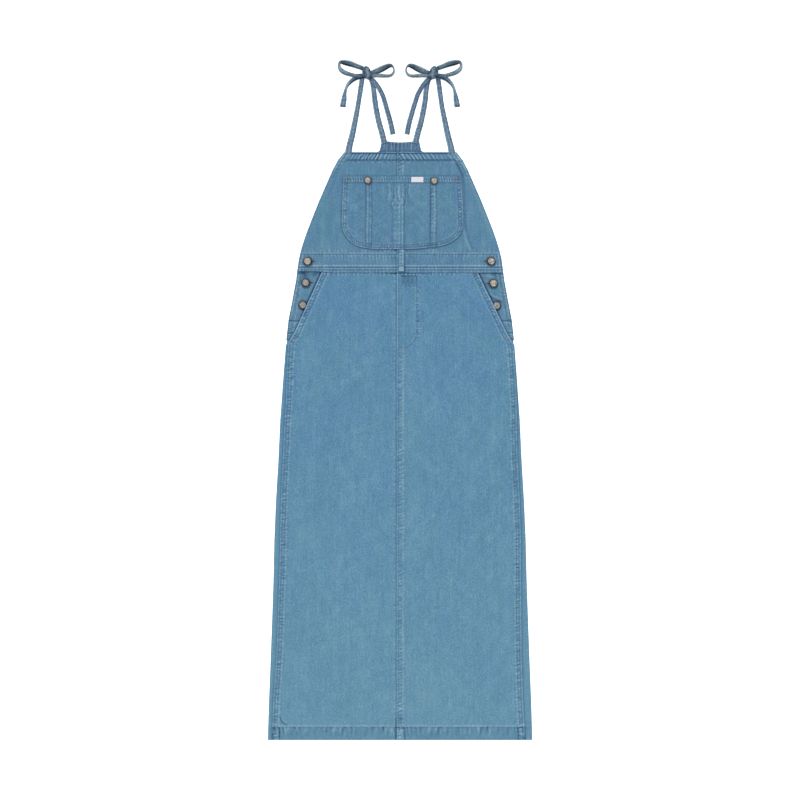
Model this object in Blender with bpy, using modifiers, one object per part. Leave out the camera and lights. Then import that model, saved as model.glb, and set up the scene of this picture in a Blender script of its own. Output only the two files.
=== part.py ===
"""Denim pinafore dress with tied shoulder straps, laid flat and front up.

Metres, +Z up, on the plane Z = 0. +Y runs from the hem to the shoulders, and
"left" is -X. Tables and constants are in millimetres. The cloth pieces are open
grids thickened with Solidify: each grid is the lower face of its cloth, and a
piece that lies on another starts one seam gap above it.
"""
import math

import bmesh
import bpy
import numpy as np

MM = 0.001
WALL = 1.2              # one layer of denim
TURNED_WALL = 2.4       # a turned edge: hem, casing
SEAM_GAP = 0.3          # between two pieces

# ---------------------------------------------------------------- heights
FOLD_RADIUS = 1.0       # of the middle of the cloth, where the back folds round
FACING_BASE = WALL + SEAM_GAP
BIB_BASE = 2.4
SKIRT_BASE = FACING_BASE + WALL + SEAM_GAP
STRIP_TOP = 2 * FOLD_RADIUS + WALL
SIDE_SEAM_BASE = STRIP_TOP + SEAM_GAP
BIB_LAP_BASE = BIB_BASE + WALL + SEAM_GAP
SKIRT_LAP_BASE = SKIRT_BASE + WALL + SEAM_GAP
WAISTBAND_BASE = SKIRT_BASE + WALL + SEAM_GAP
WAISTBAND_RIDGE_BASE = SKIRT_LAP_BASE + WALL + SEAM_GAP
POCKET_BASE = BIB_BASE + WALL + SEAM_GAP
POCKET_RIDGE_BASE = BIB_LAP_BASE + WALL + SEAM_GAP

# ---------------------------------------------------------------- outline
HEM_Y = -681.6
HEM_TURN = 24.0
WAIST_LOW_Y = 252.8
WAIST_HIGH_Y = 293.4
TUCK = 9.2              # how far skirt and bib run in under the waistband
BIB_TOP_Y = 494.4
CASING = 17.0
EDGE_STEP = 3.0         # over which a turned edge thins to one layer

OUTLINE = (
    # height, half_width
    (-681.6, 264.0), (-641.6, 262.9), (-521.6, 258.4), (-361.6, 252.7),
    (-281.6, 250.8), (-121.6, 242.5), (-41.6, 238.9), (38.4, 233.4),
    (118.4, 227.3), (158.4, 222.9), (198.4, 215.2), (238.4, 207.9),
    (278.4, 202.7), (298.4, 198.2), (318.4, 192.1), (338.4, 185.0),
    (358.4, 177.3), (398.4, 161.3), (438.4, 143.8), (458.4, 135.0),
    (478.4, 124.6), (494.4, 112.0),
)
BIB_BACK_OUTLINE = (
    # height, half_width
    (294.2, 196.0), (320.0, 181.0), (360.0, 158.0), (400.0, 132.0),
    (440.0, 103.0), (470.0, 74.0), (494.0, 46.8), (498.0, 41.6), (516.4, 37.6),
)

# ---------------------------------------------------------------- seams
SIDE_STRIP_TOP_Y = 110.0    # the back folds round to the front below this
SIDE_BAND = 13.0            # width of the flat-felled side seam
STRIP_UNDER = 12.0          # the back's strip under that seam
SIDE_EASE = 26.0            # from the front's edge to its plain height
LEFT_LAP = (
    # height, how far the side seam lies in from the garment's edge
    (-681.6, 7.8), (-600.0, 8.0), (-520.0, 10.4), (-280.0, 10.4),
    (-200.0, 9.0), (-120.0, 8.0), (0.0, 8.0), (70.4, 5.0), (116.4, 4.7),
)
RIGHT_LAP = (
    # height, how far the side seam lies in from the garment's edge
    (-681.6, 14.0), (-600.0, 15.6), (-520.0, 15.0), (-440.0, 13.0),
    (-360.0, 10.6), (-280.0, 9.0), (-200.0, 8.0), (-120.0, 7.4),
    (-60.0, 6.0), (0.0, 3.0), (113.6, 1.4),
)
LEFT_POCKET_EDGE = (
    # height, distance from the centre line of the slanted pocket mouth
    (116.4, 222.8), (131.8, 213.6), (253.4, 158.8), (262.6, 154.8),
)
RIGHT_POCKET_EDGE = (
    # height, distance from the centre line of the slanted pocket mouth
    (113.6, 226.0), (129.2, 216.4), (253.4, 156.8), (262.6, 152.4),
)
FACING_UNDER = 22.0         # the side facing under the pocket mouth
FACING_LOW_Y = 118.0
LAP_LEFT_X = -7.4           # the centre seam: the right half over the left half
LAP_RIGHT_X = 6.0
UNDER_LAP_X = 5.0
LAP_EASE_X = 14.0
RIDGE_LEFT_X = -9.0         # what lies over the centre seam
RIDGE_RIGHT_X = 8.0
RIDGE_EASE_X = 20.0

SKIRT_FOLDS = (
    # start_x, start_y, end_x, end_y, half_width, rise
    (-46.6, 67.0, -124.4, 12.4, 22.0, 1.3),
    (23.6, 36.4, 27.4, -103.6, 20.0, 1.4),
    (85.8, 52.4, 82.0, -41.6, 22.0, -1.0),
    (194.8, -65.6, 148.0, -205.6, 26.0, 1.6),
    (70.0, -235.6, 20.0, -337.6, 26.0, 1.4),
    (100.0, -361.6, 20.0, -445.6, 26.0, 1.8),
    (226.0, -477.6, 194.0, -571.6, 24.0, 1.7),
    (194.0, -571.6, 140.0, -641.6, 24.0, 1.5),
    (-24.0, -375.6, -110.0, -407.6, 24.0, 1.3),
    (-164.0, -49.6, -152.0, -181.6, 24.0, 1.5),
    (-186.6, -571.0, -109.2, -625.6, 26.0, 1.5),
    (-200.0, 40.0, -190.0, -40.0, 24.0, 1.1),
    (-90.0, -160.0, -70.0, -270.0, 30.0, 1.2),
    (-170.0, -300.0, -140.0, -450.0, 30.0, 1.4),
)

BIB_POCKET = (
    # height, left_x, right_x
    (299.8, -56.0, 50.0), (303.4, -86.0, 66.0), (308.4, -95.0, 86.0),
    (314.4, -100.0, 104.0), (322.4, -105.0, 114.0), (332.4, -111.0, 123.2),
    (346.4, -117.4, 126.4), (390.0, -116.0, 124.6), (432.0, -114.4, 122.2),
    (445.0, -114.0, 121.8),
)
LABEL = (21.8, 46.0, 433.8, 444.2)          # low x, high x, low y, high y
LABEL_WALL = 1.0
LOOP = (-4.4, 7.6)                          # low x, high x

# ---------------------------------------------------------------- buttons
SHANK_BUTTON = (
    # radius, height
    (0.0, 3.3), (5.6, 3.3), (7.0, 4.2), (8.5, 3.5), (8.5, 2.5),
    (7.0, 1.6), (3.5, 1.4), (3.5, 0.0), (0.0, 0.0),
)
RIVET_BUTTON = (
    # radius, height
    (0.0, 2.0), (5.2, 2.0), (6.4, 2.6), (7.5, 1.9), (7.5, 0.9),
    (6.2, 0.0), (0.0, 0.0),
)
BUTTON_STEPS = 18
BUTTONS = (
    # name, x, y, base, profile
    ("waist_button_left", -185.0, 276.4, WAISTBAND_BASE + WALL + SEAM_GAP, SHANK_BUTTON),
    ("waist_button_right", 182.6, 276.8, WAISTBAND_BASE + WALL + SEAM_GAP, SHANK_BUTTON),
    ("side_button_upper_left", -188.8, 232.4, FACING_BASE + WALL + SEAM_GAP, SHANK_BUTTON),
    ("side_button_upper_right", 186.8, 232.4, FACING_BASE + WALL + SEAM_GAP, SHANK_BUTTON),
    ("side_button_lower_left", -194.8, 188.8, FACING_BASE + WALL + SEAM_GAP, SHANK_BUTTON),
    ("side_button_lower_right", 193.8, 187.6, FACING_BASE + WALL + SEAM_GAP, SHANK_BUTTON),
    ("rivet_button_left", -64.2, 437.6, POCKET_BASE + WALL + SEAM_GAP, RIVET_BUTTON),
    ("rivet_button_right", 69.2, 437.6, POCKET_BASE + WALL + SEAM_GAP, RIVET_BUTTON),
)

# ---------------------------------------------------------------- straps and bows
# Given for the left shoulder; the right one is their mirror image.
FRONT_STRAP = (
    # x, y, base, width
    (-102.6, 495.5, 2.8, 10.6), (-100.6, 510.4, 1.2, 10.4), (-95.6, 530.4, 0.0, 10.4),
    (-89.4, 558.4, 0.0, 10.0), (-82.2, 598.4, 0.0, 10.0), (-76.8, 630.0, 0.0, 10.0),
    (-72.9, 646.0, 0.0, 9.0),
)
BACK_STRAP = (
    # x, y, base, width
    (-32.1, 518.2, 0.0, 10.4), (-36.8, 534.4, 0.0, 10.4), (-43.0, 558.4, 0.0, 10.2),
    (-50.4, 598.4, 0.0, 10.0), (-53.6, 626.0, 0.0, 9.8), (-61.9, 646.0, 0.0, 9.0),
)
OUTER_TAIL = (
    # x, y, base, width
    (-71.0, 647.6, 1.5, 9.0), (-77.6, 644.4, 1.5, 9.6), (-88.6, 642.0, 1.5, 9.0),
    (-98.6, 636.6, 0.6, 7.0), (-105.4, 627.8, 0.0, 5.4), (-109.6, 616.8, 0.0, 8.6),
    (-112.4, 602.0, 0.0, 10.6), (-113.8, 585.0, 0.0, 10.8),
)
INNER_TAIL = (
    # x, y, base, width
    (-64.5, 647.4, 1.5, 9.0), (-57.4, 642.4, 1.5, 9.6), (-47.6, 631.4, 1.5, 10.0),
    (-38.0, 616.4, 1.5, 10.0), (-31.4, 598.4, 0.0, 10.0), (-19.8, 558.4, 0.0, 10.2),
    (-13.4, 530.0, 0.0, 10.4),
)
OUTER_LOOP = (
    # outer_x, outer_y, outer_base, inner_x, inner_y, inner_base
    (-73.0, 665.0, 3.2, -73.0, 657.6, 3.0), (-88.0, 673.4, 5.0, -88.0, 662.0, 3.0),
    (-103.2, 678.2, 6.0, -101.0, 665.6, 3.4), (-117.0, 678.4, 6.0, -113.0, 668.6, 4.2),
    (-122.8, 672.8, 5.0, -117.8, 668.0, 4.8), (-124.4, 665.4, 4.0, -118.8, 665.4, 5.0),
    (-121.6, 657.2, 2.6, -117.0, 662.4, 5.2), (-112.4, 650.8, 1.8, -108.0, 656.8, 5.2),
    (-103.2, 646.6, 3.0, -99.0, 654.0, 5.0), (-90.0, 644.4, 3.0, -90.0, 652.6, 4.4),
    (-75.0, 644.8, 3.0, -75.0, 653.2, 3.2),
)
INNER_LOOP = (
    # outer_x, outer_y, outer_base, inner_x, inner_y, inner_base
    (-62.0, 659.6, 3.2, -62.0, 652.4, 3.0), (-51.0, 661.0, 4.6, -48.0, 651.6, 3.0),
    (-39.0, 667.2, 6.0, -38.6, 653.4, 3.2), (-23.4, 671.8, 6.0, -26.0, 659.6, 4.0),
    (-14.2, 666.4, 5.0, -17.4, 662.0, 4.8), (-10.6, 657.2, 4.0, -15.6, 657.0, 5.0),
    (-14.2, 649.0, 2.6, -18.0, 653.2, 5.2), (-26.2, 643.4, 1.8, -26.0, 650.4, 5.2),
    (-39.0, 642.6, 3.0, -39.0, 649.4, 5.0), (-48.2, 643.0, 3.0, -48.0, 649.8, 4.4),
    (-62.0, 645.2, 3.0, -62.0, 650.6, 3.2),
)
KNOT_CENTRE = (-68.0, 652.6)
KNOT_SIZE = (19.4, 28.6, 6.6)               # width, length, height
KNOT_BASE = 4.8

# ---------------------------------------------------------------- materials
DENIM = (0.122, 0.270, 0.402)
DENIM_INSIDE = (0.102, 0.182, 0.283)
PEWTER = (0.36, 0.33, 0.29)
WHITE_WOVEN = (0.72, 0.72, 0.74)


def material(name, colour, roughness, metallic=0.0):
    """A plain Principled BSDF material, made once for each name."""
    made = bpy.data.materials.get(name)
    if made is None:
        made = bpy.data.materials.new(name)
        made.use_nodes = True
        shader = made.node_tree.nodes["Principled BSDF"]
        shader.inputs["Base Color"].default_value = (*colour, 1.0)
        shader.inputs["Roughness"].default_value = roughness
        shader.inputs["Metallic"].default_value = metallic
    return made


def denim():
    return material("denim", DENIM, 0.9)


def denim_inside():
    return material("denim_inside", DENIM_INSIDE, 0.92)


def pewter():
    return material("pewter", PEWTER, 0.38, 0.9)


def white_woven():
    return material("white_woven", WHITE_WOVEN, 0.8)


def read(table, height, column=1):
    """A table's column at a height, straight between its rows."""
    rows = np.array(table)
    order = np.argsort(rows[:, 0])
    return float(np.interp(height, rows[order, 0], rows[order, column]))


def half_width(height):
    return read(OUTLINE, height)


def spread(start, end, count):
    """Evenly spaced values after start and before end."""
    return [start + (end - start) * step / (count + 1) for step in range(1, count + 1)]


def new_object(name, mesh, looks):
    mesh.materials.append(looks)
    piece = bpy.data.objects.new(name, mesh)
    garment.objects.link(piece)
    return piece


def cloth(name, grid, looks, walls=None, kept=None, centred=False):
    """A grid of points (mm), thickened upwards by its walls (mm), or both ways."""
    rows, columns = len(grid), len(grid[0])
    walls = walls or [[WALL] * columns for _ in range(rows)]
    thickest = max(max(row) for row in walls)
    shape = bmesh.new()
    weights = shape.verts.layers.deform.verify()
    points = [[shape.verts.new([value * MM for value in place]) for place in row] for row in grid]
    for row in range(rows - 1):
        for column in range(columns - 1):
            if kept is None or kept(row, column):
                shape.faces.new((points[row][column], points[row][column + 1],
                                 points[row + 1][column + 1], points[row + 1][column]))
    shape.normal_update()
    if sum(face.normal.z for face in shape.faces) < 0 and not centred:
        bmesh.ops.reverse_faces(shape, faces=shape.faces)
    for row in range(rows):
        for column in range(columns):
            points[row][column][weights][0] = walls[row][column] / thickest
    loose = [point for point in shape.verts if not point.link_faces]
    bmesh.ops.delete(shape, geom=loose, context="VERTS")
    mesh = bpy.data.meshes.new(name)
    shape.to_mesh(mesh)
    shape.free()
    piece = new_object(name, mesh, looks)
    piece.vertex_groups.new(name="wall")
    solidify = piece.modifiers.new("Wall", "SOLIDIFY")
    solidify.thickness = thickest * MM
    solidify.offset = 0.0 if centred else 1.0
    solidify.use_even_offset = True
    solidify.vertex_group = "wall"
    return piece


def fold_rise(x, y):
    """How far the skirt's soft folds lift the cloth at a point."""
    rise = 0.0
    for start_x, start_y, end_x, end_y, reach, height in SKIRT_FOLDS:
        along = np.array((end_x - start_x, end_y - start_y))
        offset = np.array((x - start_x, y - start_y))
        share = float(np.clip(offset @ along / (along @ along), 0.0, 1.0))
        distance = float(np.linalg.norm(offset - share * along))
        rise += height * math.exp(-(distance / reach) ** 2)
    return rise


def skirt_rows():
    """Heights of the front skirt's rows, from the hem to under the waistband."""
    turn_top = HEM_Y + HEM_TURN
    rows = [HEM_Y, turn_top, turn_top + EDGE_STEP]
    rows += spread(turn_top + EDGE_STEP, 82.0, 20) + [82.0, SIDE_STRIP_TOP_Y]
    rows += [118.0, 131.8, 162.0, 193.0, 224.0, WAIST_LOW_Y, WAIST_LOW_Y + TUCK]
    return rows


def front_edge(y, lap, pocket_edge):
    """Distance of a front panel's outer edge from the centre line."""
    corner = pocket_edge[0][0]
    if y >= corner:
        return read(pocket_edge, y)
    return half_width(y) - read(lap, y)


def side_seam_rise(y):
    """The front panel's edge is higher where it lies on the folded back."""
    over_strip = float(np.clip((131.8 - y) / (131.8 - SIDE_STRIP_TOP_Y), 0.0, 1.0))
    return over_strip * (SIDE_SEAM_BASE - SKIRT_BASE)


def build_skirt_front(name, side, lap, pocket_edge):
    """One front skirt panel; side is -1 for the left one and 1 for the right one."""
    grid = []
    walls = []
    for y in skirt_rows():
        edge = front_edge(y, lap, pocket_edge)
        outer = [edge, edge - SIDE_BAND, edge - SIDE_EASE]
        inner = [(RIDGE_EASE_X, 0.0)]
        if side < 0:
            inner += [(-RIDGE_LEFT_X, 0.0), (-UNDER_LAP_X, 0.0)]
        else:
            inner = [(LAP_EASE_X, 0.0), (LAP_RIGHT_X, SKIRT_LAP_BASE - SKIRT_BASE),
                     (LAP_LEFT_X, SKIRT_LAP_BASE - SKIRT_BASE)]
        open_cloth = spread(outer[2], inner[0][0], 8)
        plain = min(1.0, (y - HEM_Y) / 60.0, max(0.0, (230.0 - y) / 60.0))
        line = [(outer[0], side_seam_rise(y)), (outer[1], side_seam_rise(y)), (outer[2], 0.0)]
        line += [(x, plain * fold_rise(side * x, y)) for x in open_cloth]
        line += inner
        grid.append([(side * x, y, SKIRT_BASE + rise) for x, rise in line])
        turned = y <= HEM_Y + HEM_TURN
        wall = [TURNED_WALL if turned else WALL] * len(line)
        if side < 0:
            wall[-2:] = [WALL, WALL]
        walls.append(wall)
    return cloth(name, grid, denim(), walls)


def build_skirt_back():
    """The back panel, flat below, folded round both sides onto the front."""
    top_y = WAIST_LOW_Y
    rows = [HEM_Y] + spread(HEM_Y, SIDE_STRIP_TOP_Y, 16) + [SIDE_STRIP_TOP_Y]
    rows += spread(SIDE_STRIP_TOP_Y, top_y, 3) + [top_y]
    middle = WALL / 2
    turns = [math.radians(angle) for angle in (90, 45, 0, -45, -90)]
    grid = []
    for y in rows:
        bend_x = half_width(y) - FOLD_RADIUS - WALL / 2
        left_end = half_width(y) - read(LEFT_LAP, y) - STRIP_UNDER
        right_end = half_width(y) - read(RIGHT_LAP, y) - STRIP_UNDER
        bend = [(bend_x + FOLD_RADIUS * math.cos(turn), middle + FOLD_RADIUS * (1 + math.sin(turn)))
                for turn in turns]
        flat = [(share * bend_x, middle) for share in (0.5, 0.0, -0.5)]
        line = [(right_end, bend[0][1])] + bend + flat
        line += [(-x, z) for x, z in reversed(bend)] + [(-left_end, bend[0][1])]
        grid.append([(x, y, z) for x, z in line])
    fold_columns = len(turns)
    last = len(grid[0]) - 2

    def kept(row, column):
        below = rows[row + 1] <= SIDE_STRIP_TOP_Y
        return below or fold_columns <= column <= last - fold_columns

    return cloth("skirt_back", grid, denim(), kept=kept, centred=True)


def build_side_facing(name, side, pocket_edge):
    """The placket that shows outside a slanted pocket mouth, and runs in under it."""
    grid = []
    for y in [FACING_LOW_Y] + spread(FACING_LOW_Y, WAIST_LOW_Y + TUCK, 5) + [WAIST_LOW_Y + TUCK]:
        outer = half_width(y)
        inner = read(pocket_edge, y) - FACING_UNDER
        line = [outer] + spread(outer, inner, 2) + [inner]
        grid.append([(side * x, y, FACING_BASE) for x in line])
    return cloth(name, grid, denim())


def build_waistband_front():
    """The band that covers the top of the skirt and the foot of the bib."""
    end_ease = 12.0
    end_base = SKIRT_BASE
    grid = []
    for y in (WAIST_LOW_Y, WAIST_LOW_Y + 12.0, WAIST_HIGH_Y - 12.0, WAIST_HIGH_Y):
        end = half_width(y)
        left = [(-end, end_base), (-end + end_ease, WAISTBAND_BASE)]
        left += [(x, WAISTBAND_BASE) for x in spread(-end + end_ease, -RIDGE_EASE_X, 4)]
        left += [(-RIDGE_EASE_X, WAISTBAND_BASE), (RIDGE_LEFT_X, WAISTBAND_RIDGE_BASE)]
        right = [(RIDGE_RIGHT_X, WAISTBAND_RIDGE_BASE), (RIDGE_EASE_X, WAISTBAND_BASE)]
        right += [(x, WAISTBAND_BASE) for x in spread(RIDGE_EASE_X, end - end_ease, 4)]
        right += [(end - end_ease, WAISTBAND_BASE), (end, end_base)]
        grid.append([(x, y, base) for x, base in left + right])
    return cloth("waistband_front", grid, denim())


def build_waistband_back():
    inset = 1.5
    grid = []
    for y in (WAIST_LOW_Y + SEAM_GAP, 273.0, WAIST_HIGH_Y):
        end = half_width(y) - inset
        grid.append([(share * end, y, 0.0) for share in (-1.0, -0.5, 0.0, 0.5, 1.0)])
    return cloth("waistband_back", grid, denim())


def build_waist_loop():
    """The narrow strip down the waistband's centre, from the pocket's foot."""
    base = WAISTBAND_RIDGE_BASE + WALL + SEAM_GAP
    low_x, high_x = LOOP
    rows = ((254.6, base, 2.0), (264.6, base, 2.0), (266.0, base, WALL),
            (294.2, base, WALL), (299.2, 5.8, WALL))
    grid = [[(low_x, y, height), (high_x, y, height)] for y, height, _ in rows]
    walls = [[wall, wall] for _, _, wall in rows]
    return cloth("waist_centre_loop", grid, denim(), walls)


def build_bib_front(name, side):
    """One half of the bib, with the casing turned over along its top."""
    edge_ease = 12.0
    low_y = WAIST_HIGH_Y - TUCK
    casing_low = BIB_TOP_Y - CASING
    rows = [low_y] + spread(low_y, casing_low - EDGE_STEP, 7)
    rows += [casing_low - EDGE_STEP, casing_low, BIB_TOP_Y]
    lap_rise = BIB_LAP_BASE - BIB_BASE
    grid = []
    walls = []
    for y in rows:
        edge = half_width(y)
        if side < 0:
            inner = [(RIDGE_EASE_X, 0.0), (-RIDGE_LEFT_X, 0.0), (-UNDER_LAP_X, 0.0)]
        else:
            inner = [(LAP_EASE_X, 0.0), (LAP_RIGHT_X, lap_rise), (LAP_LEFT_X, lap_rise)]
        line = [(edge, FACING_BASE - BIB_BASE), (edge - edge_ease, 0.0)]
        line += [(x, 0.0) for x in spread(edge - edge_ease, inner[0][0], 4)] + inner
        grid.append([(side * x, y, BIB_BASE + rise) for x, rise in line])
        wall = [TURNED_WALL if y >= casing_low else WALL] * len(line)
        if side < 0:
            wall[-2:] = [WALL, WALL]
        walls.append(wall)
    return cloth(name, grid, denim(), walls)


def build_bib_back():
    grid = []
    for y, end in BIB_BACK_OUTLINE:
        grid.append([(share * end, y, 0.0) for share in (-1.0, -0.5, 0.0, 0.5, 1.0)])
    return cloth("bib_back", grid, denim_inside())


def build_bib_pocket():
    """The wide pocket on the bib; the centre seam below lifts it in a ridge."""
    grid = []
    for y, left, right in BIB_POCKET:
        line = [(left, POCKET_BASE)]
        line += [(x, POCKET_BASE) for x in spread(left, -RIDGE_EASE_X, 2)]
        line += [(-RIDGE_EASE_X, POCKET_BASE), (RIDGE_LEFT_X, POCKET_RIDGE_BASE)]
        line += [(RIDGE_RIGHT_X, POCKET_RIDGE_BASE), (RIDGE_EASE_X, POCKET_BASE)]
        line += [(x, POCKET_BASE) for x in spread(RIDGE_EASE_X, right, 2)]
        line += [(right, POCKET_BASE)]
        grid.append([(x, y, base) for x, base in line])
    return cloth("bib_pocket", grid, denim())


def build_label():
    low_x, high_x, low_y, high_y = LABEL
    base = POCKET_BASE + WALL + SEAM_GAP
    grid = [[(x, y, base) for x in (low_x, high_x)] for y in (low_y, high_y)]
    walls = [[LABEL_WALL] * 2] * 2
    return cloth("pocket_label", grid, white_woven(), walls)


def build_button(name, x, y, base, profile):
    """A turned metal button: its profile runs from the top's centre to the foot's."""
    mesh = bpy.data.meshes.new(name)
    points = [(radius * MM, 0.0, height * MM) for radius, height in profile]
    edges = [(point, point + 1) for point in range(len(points) - 1)]
    mesh.from_pydata(points, edges, [])
    piece = new_object(name, mesh, pewter())
    piece.location = (x * MM, y * MM, base * MM)
    screw = piece.modifiers.new("Turn", "SCREW")
    screw.steps = BUTTON_STEPS
    screw.render_steps = BUTTON_STEPS
    screw.use_merge_vertices = True
    screw.merge_threshold = 0.00001
    screw.use_smooth_shade = True
    return piece


def smooth_rows(table, count):
    """Rows along a table's own curve (Catmull-Rom), evenly spaced between its rows."""
    rows = np.array(table, dtype=float)
    padded = np.vstack((2 * rows[0] - rows[1], rows, 2 * rows[-1] - rows[-2]))
    result = []
    for step in range(count):
        place = (len(rows) - 1) * step / (count - 1)
        index = min(int(place), len(rows) - 2)
        part = place - index
        before, start, end, after = padded[index:index + 4]
        result.append(0.5 * (2 * start + (end - before) * part
                             + (2 * before - 5 * start + 4 * end - after) * part ** 2
                             + (3 * start - before - 3 * end + after) * part ** 3))
    return result


def build_ribbon(name, table, side, count):
    """A flat strap along a route of x, y, base and width."""
    rows = smooth_rows(table, count)
    grid = []
    for index, (x, y, base, width) in enumerate(rows):
        ahead = rows[min(index + 1, count - 1)]
        behind = rows[max(index - 1, 0)]
        along = np.array((ahead[0] - behind[0], ahead[1] - behind[1]))
        across = np.array((along[1], -along[0])) / np.linalg.norm(along)
        line = [(x + share * width * across[0], y + share * width * across[1])
                for share in (-0.5, 0.5)]
        grid.append([(-side * px, py, max(base, 0.0)) for px, py in line])
    return cloth(name, grid, denim())


def build_bow_loop(name, table, side):
    """A bow's loop: a leaning band between its outer and its inner edge."""
    grid = []
    for outer_x, outer_y, outer_z, inner_x, inner_y, inner_z in smooth_rows(table, 25):
        grid.append([(-side * outer_x, outer_y, outer_z), (-side * inner_x, inner_y, inner_z)])
    return cloth(name, grid, denim())


def build_knot(name, side):
    """The bow's knot: a rounded lump over the straps, tails and loops."""
    shape = bmesh.new()
    bmesh.ops.create_cube(shape, size=1.0)
    width, length, height = KNOT_SIZE
    swell = 1.28        # the cage stands outside the rounded lump it gives
    for point in shape.verts:
        point.co.x *= width * swell * MM
        point.co.y *= length * swell * MM
        point.co.z *= height * swell * MM
    mesh = bpy.data.meshes.new(name)
    shape.to_mesh(mesh)
    shape.free()
    piece = new_object(name, mesh, denim())
    piece.location = (-side * KNOT_CENTRE[0] * MM, KNOT_CENTRE[1] * MM,
                      (KNOT_BASE + height / 2) * MM)
    rounding = piece.modifiers.new("Rounding", "SUBSURF")
    rounding.levels = 2
    rounding.render_levels = 2
    return piece


def build_shoulder(word, side):
    """The straps, bow and tails over one shoulder."""
    build_ribbon("front_strap_" + word, FRONT_STRAP, side, 11)
    build_ribbon("back_strap_" + word, BACK_STRAP, side, 10)
    build_ribbon("bow_tail_outer_" + word, OUTER_TAIL, side, 16)
    build_ribbon("bow_tail_inner_" + word, INNER_TAIL, side, 14)
    build_bow_loop("bow_loop_outer_" + word, OUTER_LOOP, side)
    build_bow_loop("bow_loop_inner_" + word, INNER_LOOP, side)
    build_knot("bow_knot_" + word, side)


for leftover in list(bpy.data.objects):
    bpy.data.objects.remove(leftover, do_unlink=True)
garment = bpy.data.collections.new("Denim pinafore dress")
bpy.context.scene.collection.children.link(garment)

build_skirt_back()
build_skirt_front("skirt_front_left", -1, LEFT_LAP, LEFT_POCKET_EDGE)
build_skirt_front("skirt_front_right", 1, RIGHT_LAP, RIGHT_POCKET_EDGE)
build_side_facing("side_facing_left", -1, LEFT_POCKET_EDGE)
build_side_facing("side_facing_right", 1, RIGHT_POCKET_EDGE)
build_waistband_back()
build_waistband_front()
build_waist_loop()
build_bib_back()
build_bib_front("bib_front_left", -1)
build_bib_front("bib_front_right", 1)
build_bib_pocket()
build_label()
for button in BUTTONS:
    build_button(*button)
build_shoulder("left", -1)
build_shoulder("right", 1)
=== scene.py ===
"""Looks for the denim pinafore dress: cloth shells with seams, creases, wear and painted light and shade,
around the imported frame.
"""
import math

import bmesh
import bpy
import numpy as np
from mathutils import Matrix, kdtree


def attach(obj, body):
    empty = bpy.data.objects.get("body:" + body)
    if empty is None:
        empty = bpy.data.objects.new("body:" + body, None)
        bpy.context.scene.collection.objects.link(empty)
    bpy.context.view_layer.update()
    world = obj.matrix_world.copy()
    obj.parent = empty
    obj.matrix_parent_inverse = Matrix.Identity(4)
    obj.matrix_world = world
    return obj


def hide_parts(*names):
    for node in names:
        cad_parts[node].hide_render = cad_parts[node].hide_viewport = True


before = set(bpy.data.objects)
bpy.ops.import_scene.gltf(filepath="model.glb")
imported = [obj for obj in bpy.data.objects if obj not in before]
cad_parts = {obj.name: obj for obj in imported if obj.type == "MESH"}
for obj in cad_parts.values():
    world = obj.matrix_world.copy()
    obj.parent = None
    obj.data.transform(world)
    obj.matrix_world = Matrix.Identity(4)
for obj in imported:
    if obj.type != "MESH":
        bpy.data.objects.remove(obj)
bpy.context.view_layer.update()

# Heights, outline and seams in millimetres, as the solids have them. +Y is up the garment.
MM = 0.001
WALL = 1.2
SEAM_GAP = 0.3
FOLD_RADIUS = 1
FACING_BASE = WALL + SEAM_GAP
BIB_BASE = 2.4
SKIRT_BASE = FACING_BASE + WALL + SEAM_GAP
SIDE_SEAM_RISE = 2 * FOLD_RADIUS + WALL + SEAM_GAP - SKIRT_BASE
LAP_RISE = WALL + SEAM_GAP
WAISTBAND_BASE = SKIRT_BASE + LAP_RISE
POCKET_BASE = BIB_BASE + LAP_RISE
TURN_WALL = 2.2
THINNEST = 0.25
PUCKER_RISE = 0.4
# Painted shade: the underside of each shell, and so the lower part of its rim, is a little darker.
UNDERSIDE_SHADE = -0.2
RUNG_CONTRAST = 6.6
BAR_CONTRAST = 4.5

HEM_Y = -681.6
HEM_STITCH_Y = -653.6
WAIST_LOW_Y = 252.8
WAIST_HIGH_Y = 293.4
TUCK = 9.2
BIB_TOP_Y = 494.4
CASING_LOW_Y = 477.4
STRIP_TOP_Y = 110
STRIP_UNDER = 12
FACING_UNDER = 22
FACING_LOW_Y = 118
LAP_X = -7.4
UNDER_LAP_X = 5

OUTLINE = (
    # height, half_width
    (-681.6, 264), (-641.6, 262.9), (-601.6, 261.6), (-521.6, 258.4), (-441.6, 255.5),
    (-361.6, 252.7), (-281.6, 250.8), (-201.6, 247.3), (-121.6, 242.5), (-41.6, 238.9),
    (38.4, 233.4), (118.4, 227.3), (158.4, 222.9), (198.4, 215.2), (238.4, 207.9),
    (278.4, 202.7), (298.4, 198.2), (318.4, 192.1), (338.4, 185), (358.4, 177.3),
    (398.4, 161.3), (438.4, 143.8), (458.4, 135), (478.4, 124.6), (494.4, 112),
)
LEFT_LEAN = (
    # height, how much further out the left edge lies
    (-681.6, 1.6), (-560, 1.5), (-400, 1.5), (-210, 1.9), (-60, 1.8), (40, 1.5),
    (200, 1.1), (290, 0.9), (470, 0.8), (494.4, 0),
)
BIB_BACK_OUTLINE = (
    # height, half_width
    (294.2, 196), (320, 181), (360, 158), (400, 132),
    (440, 103), (470, 74), (494, 46.8), (498, 41.6), (516.4, 37.6),
)
LAPS = {
    # side: rows of height, how far the side seam lies in from the garment's edge
    -1: ((-681.6, 7.8), (-600, 8), (-520, 10.4), (-280, 10.4), (-200, 9),
         (-120, 8), (0, 8), (70.4, 5), (116.4, 4.7)),
    1: ((-681.6, 14), (-600, 15.6), (-520, 15), (-440, 13), (-360, 10.6),
        (-280, 9), (-200, 8), (-120, 7.4), (-60, 6), (0, 3), (113.6, 1.4)),
}
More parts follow.
